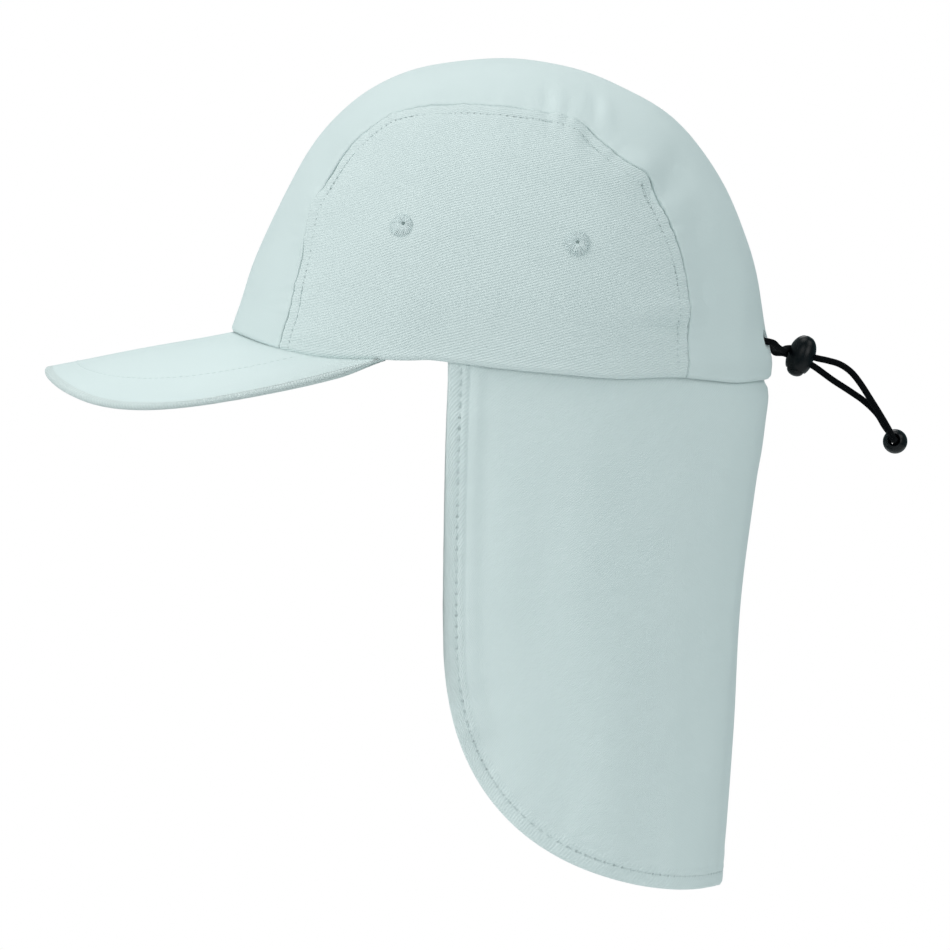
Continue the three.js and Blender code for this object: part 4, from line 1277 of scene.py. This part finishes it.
def latheSolid(name, profile, cutter, matrix, body, mats, sides=72):
    points, faces = lathe(profile, sides)
    mesh = bmesh.new()
    made = [mesh.verts.new(p) for p in points]
    for f in faces:
        try:
            mesh.faces.new([made[i] for i in f])
        except ValueError:
            pass
    bmesh.ops.remove_doubles(mesh, verts=mesh.verts, dist=1e-4)
    bmesh.ops.recalc_face_normals(mesh, faces=mesh.faces)
    data = bpy.data.meshes.new(name)
    mesh.to_mesh(data)
    mesh.free()
    piece = addObject(name, data)
    if cutter is not None:
        tool = bpy.data.meshes.new(name + "Cut")
        tool.from_pydata(cutter[0].tolist(), [], cutter[1])
        tool.validate()
        toolObject = addObject(name + "Cut", tool)
        build = bmesh.new()
        build.from_mesh(tool)
        bmesh.ops.recalc_face_normals(build, faces=build.faces)
        build.to_mesh(tool)
        build.free()
        cut = piece.modifiers.new("slot", "BOOLEAN")
        cut.operation = "DIFFERENCE"
        cut.solver = "EXACT"
        cut.object = toolObject
        soft = piece.modifiers.new("soft edges", "BEVEL")
        soft.width, soft.segments = 0.22, 3
        soft.limit_method, soft.angle_limit = "ANGLE", math.radians(38)
        bpy.context.view_layer.update()
        graph = bpy.context.evaluated_depsgraph_get()
        data = bpy.data.meshes.new_from_object(piece.evaluated_get(graph))
        piece.modifiers.clear()
        piece.data = data
        bpy.data.objects.remove(toolObject)
    data.transform(Matrix.Scale(mm, 4) @ matrix)
    data.materials.clear()
    for m in mats:
        data.materials.append(m)
    data.polygons.foreach_set("use_smooth", np.ones(len(data.polygons), bool))
    data.set_sharp_from_angle(angle=math.radians(40))
    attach(piece, body)
    return piece


lockShare = np.linspace(mouthLevel, lock["length"] / 2, 41)
lockRound = np.minimum(1, np.abs(lockShare) / (lock["length"] / 2)) ** lock["rounding"]
lockReach = lock["width"] / 2 * (1 - lockRound) ** (1 / lock["rounding"])
barrelProfile = [(0, boreEnd), (boreRadius - lock["taper"], boreEnd),
                 (boreRadius, boreEnd - lock["taper"]), (boreRadius, mouthLevel + 0.4),
                 (boreRadius + 0.3, mouthLevel + 0.05)]
barrelProfile += [(r - 0.25, z) if i == 0 else (r, z) for i,
                  (r, z) in enumerate(zip(lockReach, lockShare))]
barrel = latheSolid("lock_barrel_body", barrelProfile,
                    slotCutter(strandWidth, -strandTop, strandTop), lockMatrix,
                    "cap", [plasticMaterial])
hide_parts("cord_lock_barrel")
buttonEnd, r = -lock["length"] / 2, lock["buttonRadius"]
dome = [(r * math.sin(a), buttonEnd + 0.75 * r * (1 - math.cos(a)))
        for a in np.linspace(0, math.pi / 2, 12)]
taper = lock["taper"] + 0.15
buttonProfile = dome + [(r, buttonTop - taper), (r - taper, buttonTop), (0, buttonTop)]
button = latheSolid("lock_button_body", buttonProfile,
                    slotCutter(strandWidth, -strandTop - lock["travel"], strandTop),
                    lockMatrix, "lock_button", [plasticMaterial], 56)
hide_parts("cord_lock_button")

bead = {"radius": 4.65, "bore": 1.55, "mouth": 2.4, "turn": -11.0, "tip": -10.0}
beadHalf = math.sqrt(bead["radius"] ** 2 - bead["mouth"] ** 2)
top = math.asin((beadHalf - 0.35) / bead["radius"])
ballArc = [(bead["radius"] * math.cos(a), bead["radius"] * math.sin(a))
           for a in np.linspace(-top, top, 41)]
lipTop = [(bead["mouth"] + 0.1, beadHalf - 0.08), (bead["mouth"] - 0.25, beadHalf - 0.35),
          (bead["bore"], beadHalf - 1.3)]
bore = [(bead["bore"], z) for z in np.linspace(beadHalf - 1.6, -beadHalf + 1.6, 9)]
lipLow = [(a, -b) for a, b in lipTop[::-1]]
beadProfile = ballArc + lipTop + bore + lipLow + [ballArc[0]]
beadMatrix = placedOnCord(cord["bead"], (bead["tip"], "X"), (bead["turn"], "Z"), (90, "X"))
beadPiece = latheSolid("end_bead_body", beadProfile, None, beadMatrix, "cap", [plasticMaterial],
                       80)
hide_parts("cord_end_bead")

tuple(float(v) * mm for v in slitFrame(-1)[0])
print("drawcord, lock and bead made")

# floor, backdrop and light
studio = {"floor": -0.36, "floorSize": 1.5, "ambient": 0.2, "lampColour": (1.02, 1.0, 0.99),
          "lampSize": 1.2, "lampAim": (0, 0, -0.03)}

floorMesh = bpy.data.meshes.new("studioFloor")
half = studio["floorSize"] / 2
corners = [(-half, -half), (half, -half), (half, half), (-half, half)]
floorMesh.from_pydata([(x, y, studio["floor"]) for x, y in corners], [], [(0, 1, 2, 3)])
floor = addObject("studioFloor", floorMesh)
floorMaterial, floorTree, floorShader = newMaterial("palePaper", 0.9)
floorShader.inputs["Base Color"].default_value = (0.93, 0.93, 0.93, 1)
floorMesh.materials.append(floorMaterial)

world = bpy.data.worlds.new("studioAir")
bpy.context.scene.world = world
world.use_nodes = True
air = world.node_tree
air.nodes.clear()
seen, felt = (air.nodes.new("ShaderNodeBackground") for _ in range(2))
for sky, colour, strength in ((seen, (1, 1, 1, 1), 1.0),
                              (felt, (0.6, 1.0, 1.08, 1), studio["ambient"])):
    sky.inputs["Color"].default_value = colour
    sky.inputs["Strength"].default_value = strength
ray = air.nodes.new("ShaderNodeLightPath")
choose = air.nodes.new("ShaderNodeMixShader")
out = air.nodes.new("ShaderNodeOutputWorld")
plug(air, ray.outputs["Is Camera Ray"], choose.inputs[0])
plug(air, felt.outputs[0], choose.inputs[1])
plug(air, seen.outputs[0], choose.inputs[2])
plug(air, choose.outputs[0], out.inputs[0])


def softbox(name, place, aim, size, watts, colour):
    data = bpy.data.lights.new(name, "AREA")
    data.shape = "DISK"
    data.size = size
    data.energy = watts
    data.color = colour
    lamp = addObject(name, data)
    lamp.visible_camera = False
    lamp.location = place
    lamp.rotation_euler = towards(place, aim)


lamps = {"top": ((0, -0.2, 2.0), 9.2), "upLeft": ((-1.5, -0.6, 1.3), 14.8),
         "leftFront": ((-1.5, -1.5, 0.3), 3.7), "front": ((0, -2.0, 0.8), 5.0),
         "rightFront": ((1.5, -1.5, 0.3), 8.6), "upRight": ((1.5, -0.6, 1.3), 6.7),
         "leftLow": ((-1.9, -0.7, -0.1), 8.3), "behind": ((0, 1.3, 1.6), 9.3)}
for lampName, (lampPlace, lampWatts) in lamps.items():
    softbox(lampName, lampPlace, studio["lampAim"], studio["lampSize"], lampWatts,
            studio["lampColour"])
bpy.context.scene.view_settings.view_transform = "Standard"
print("studio made")
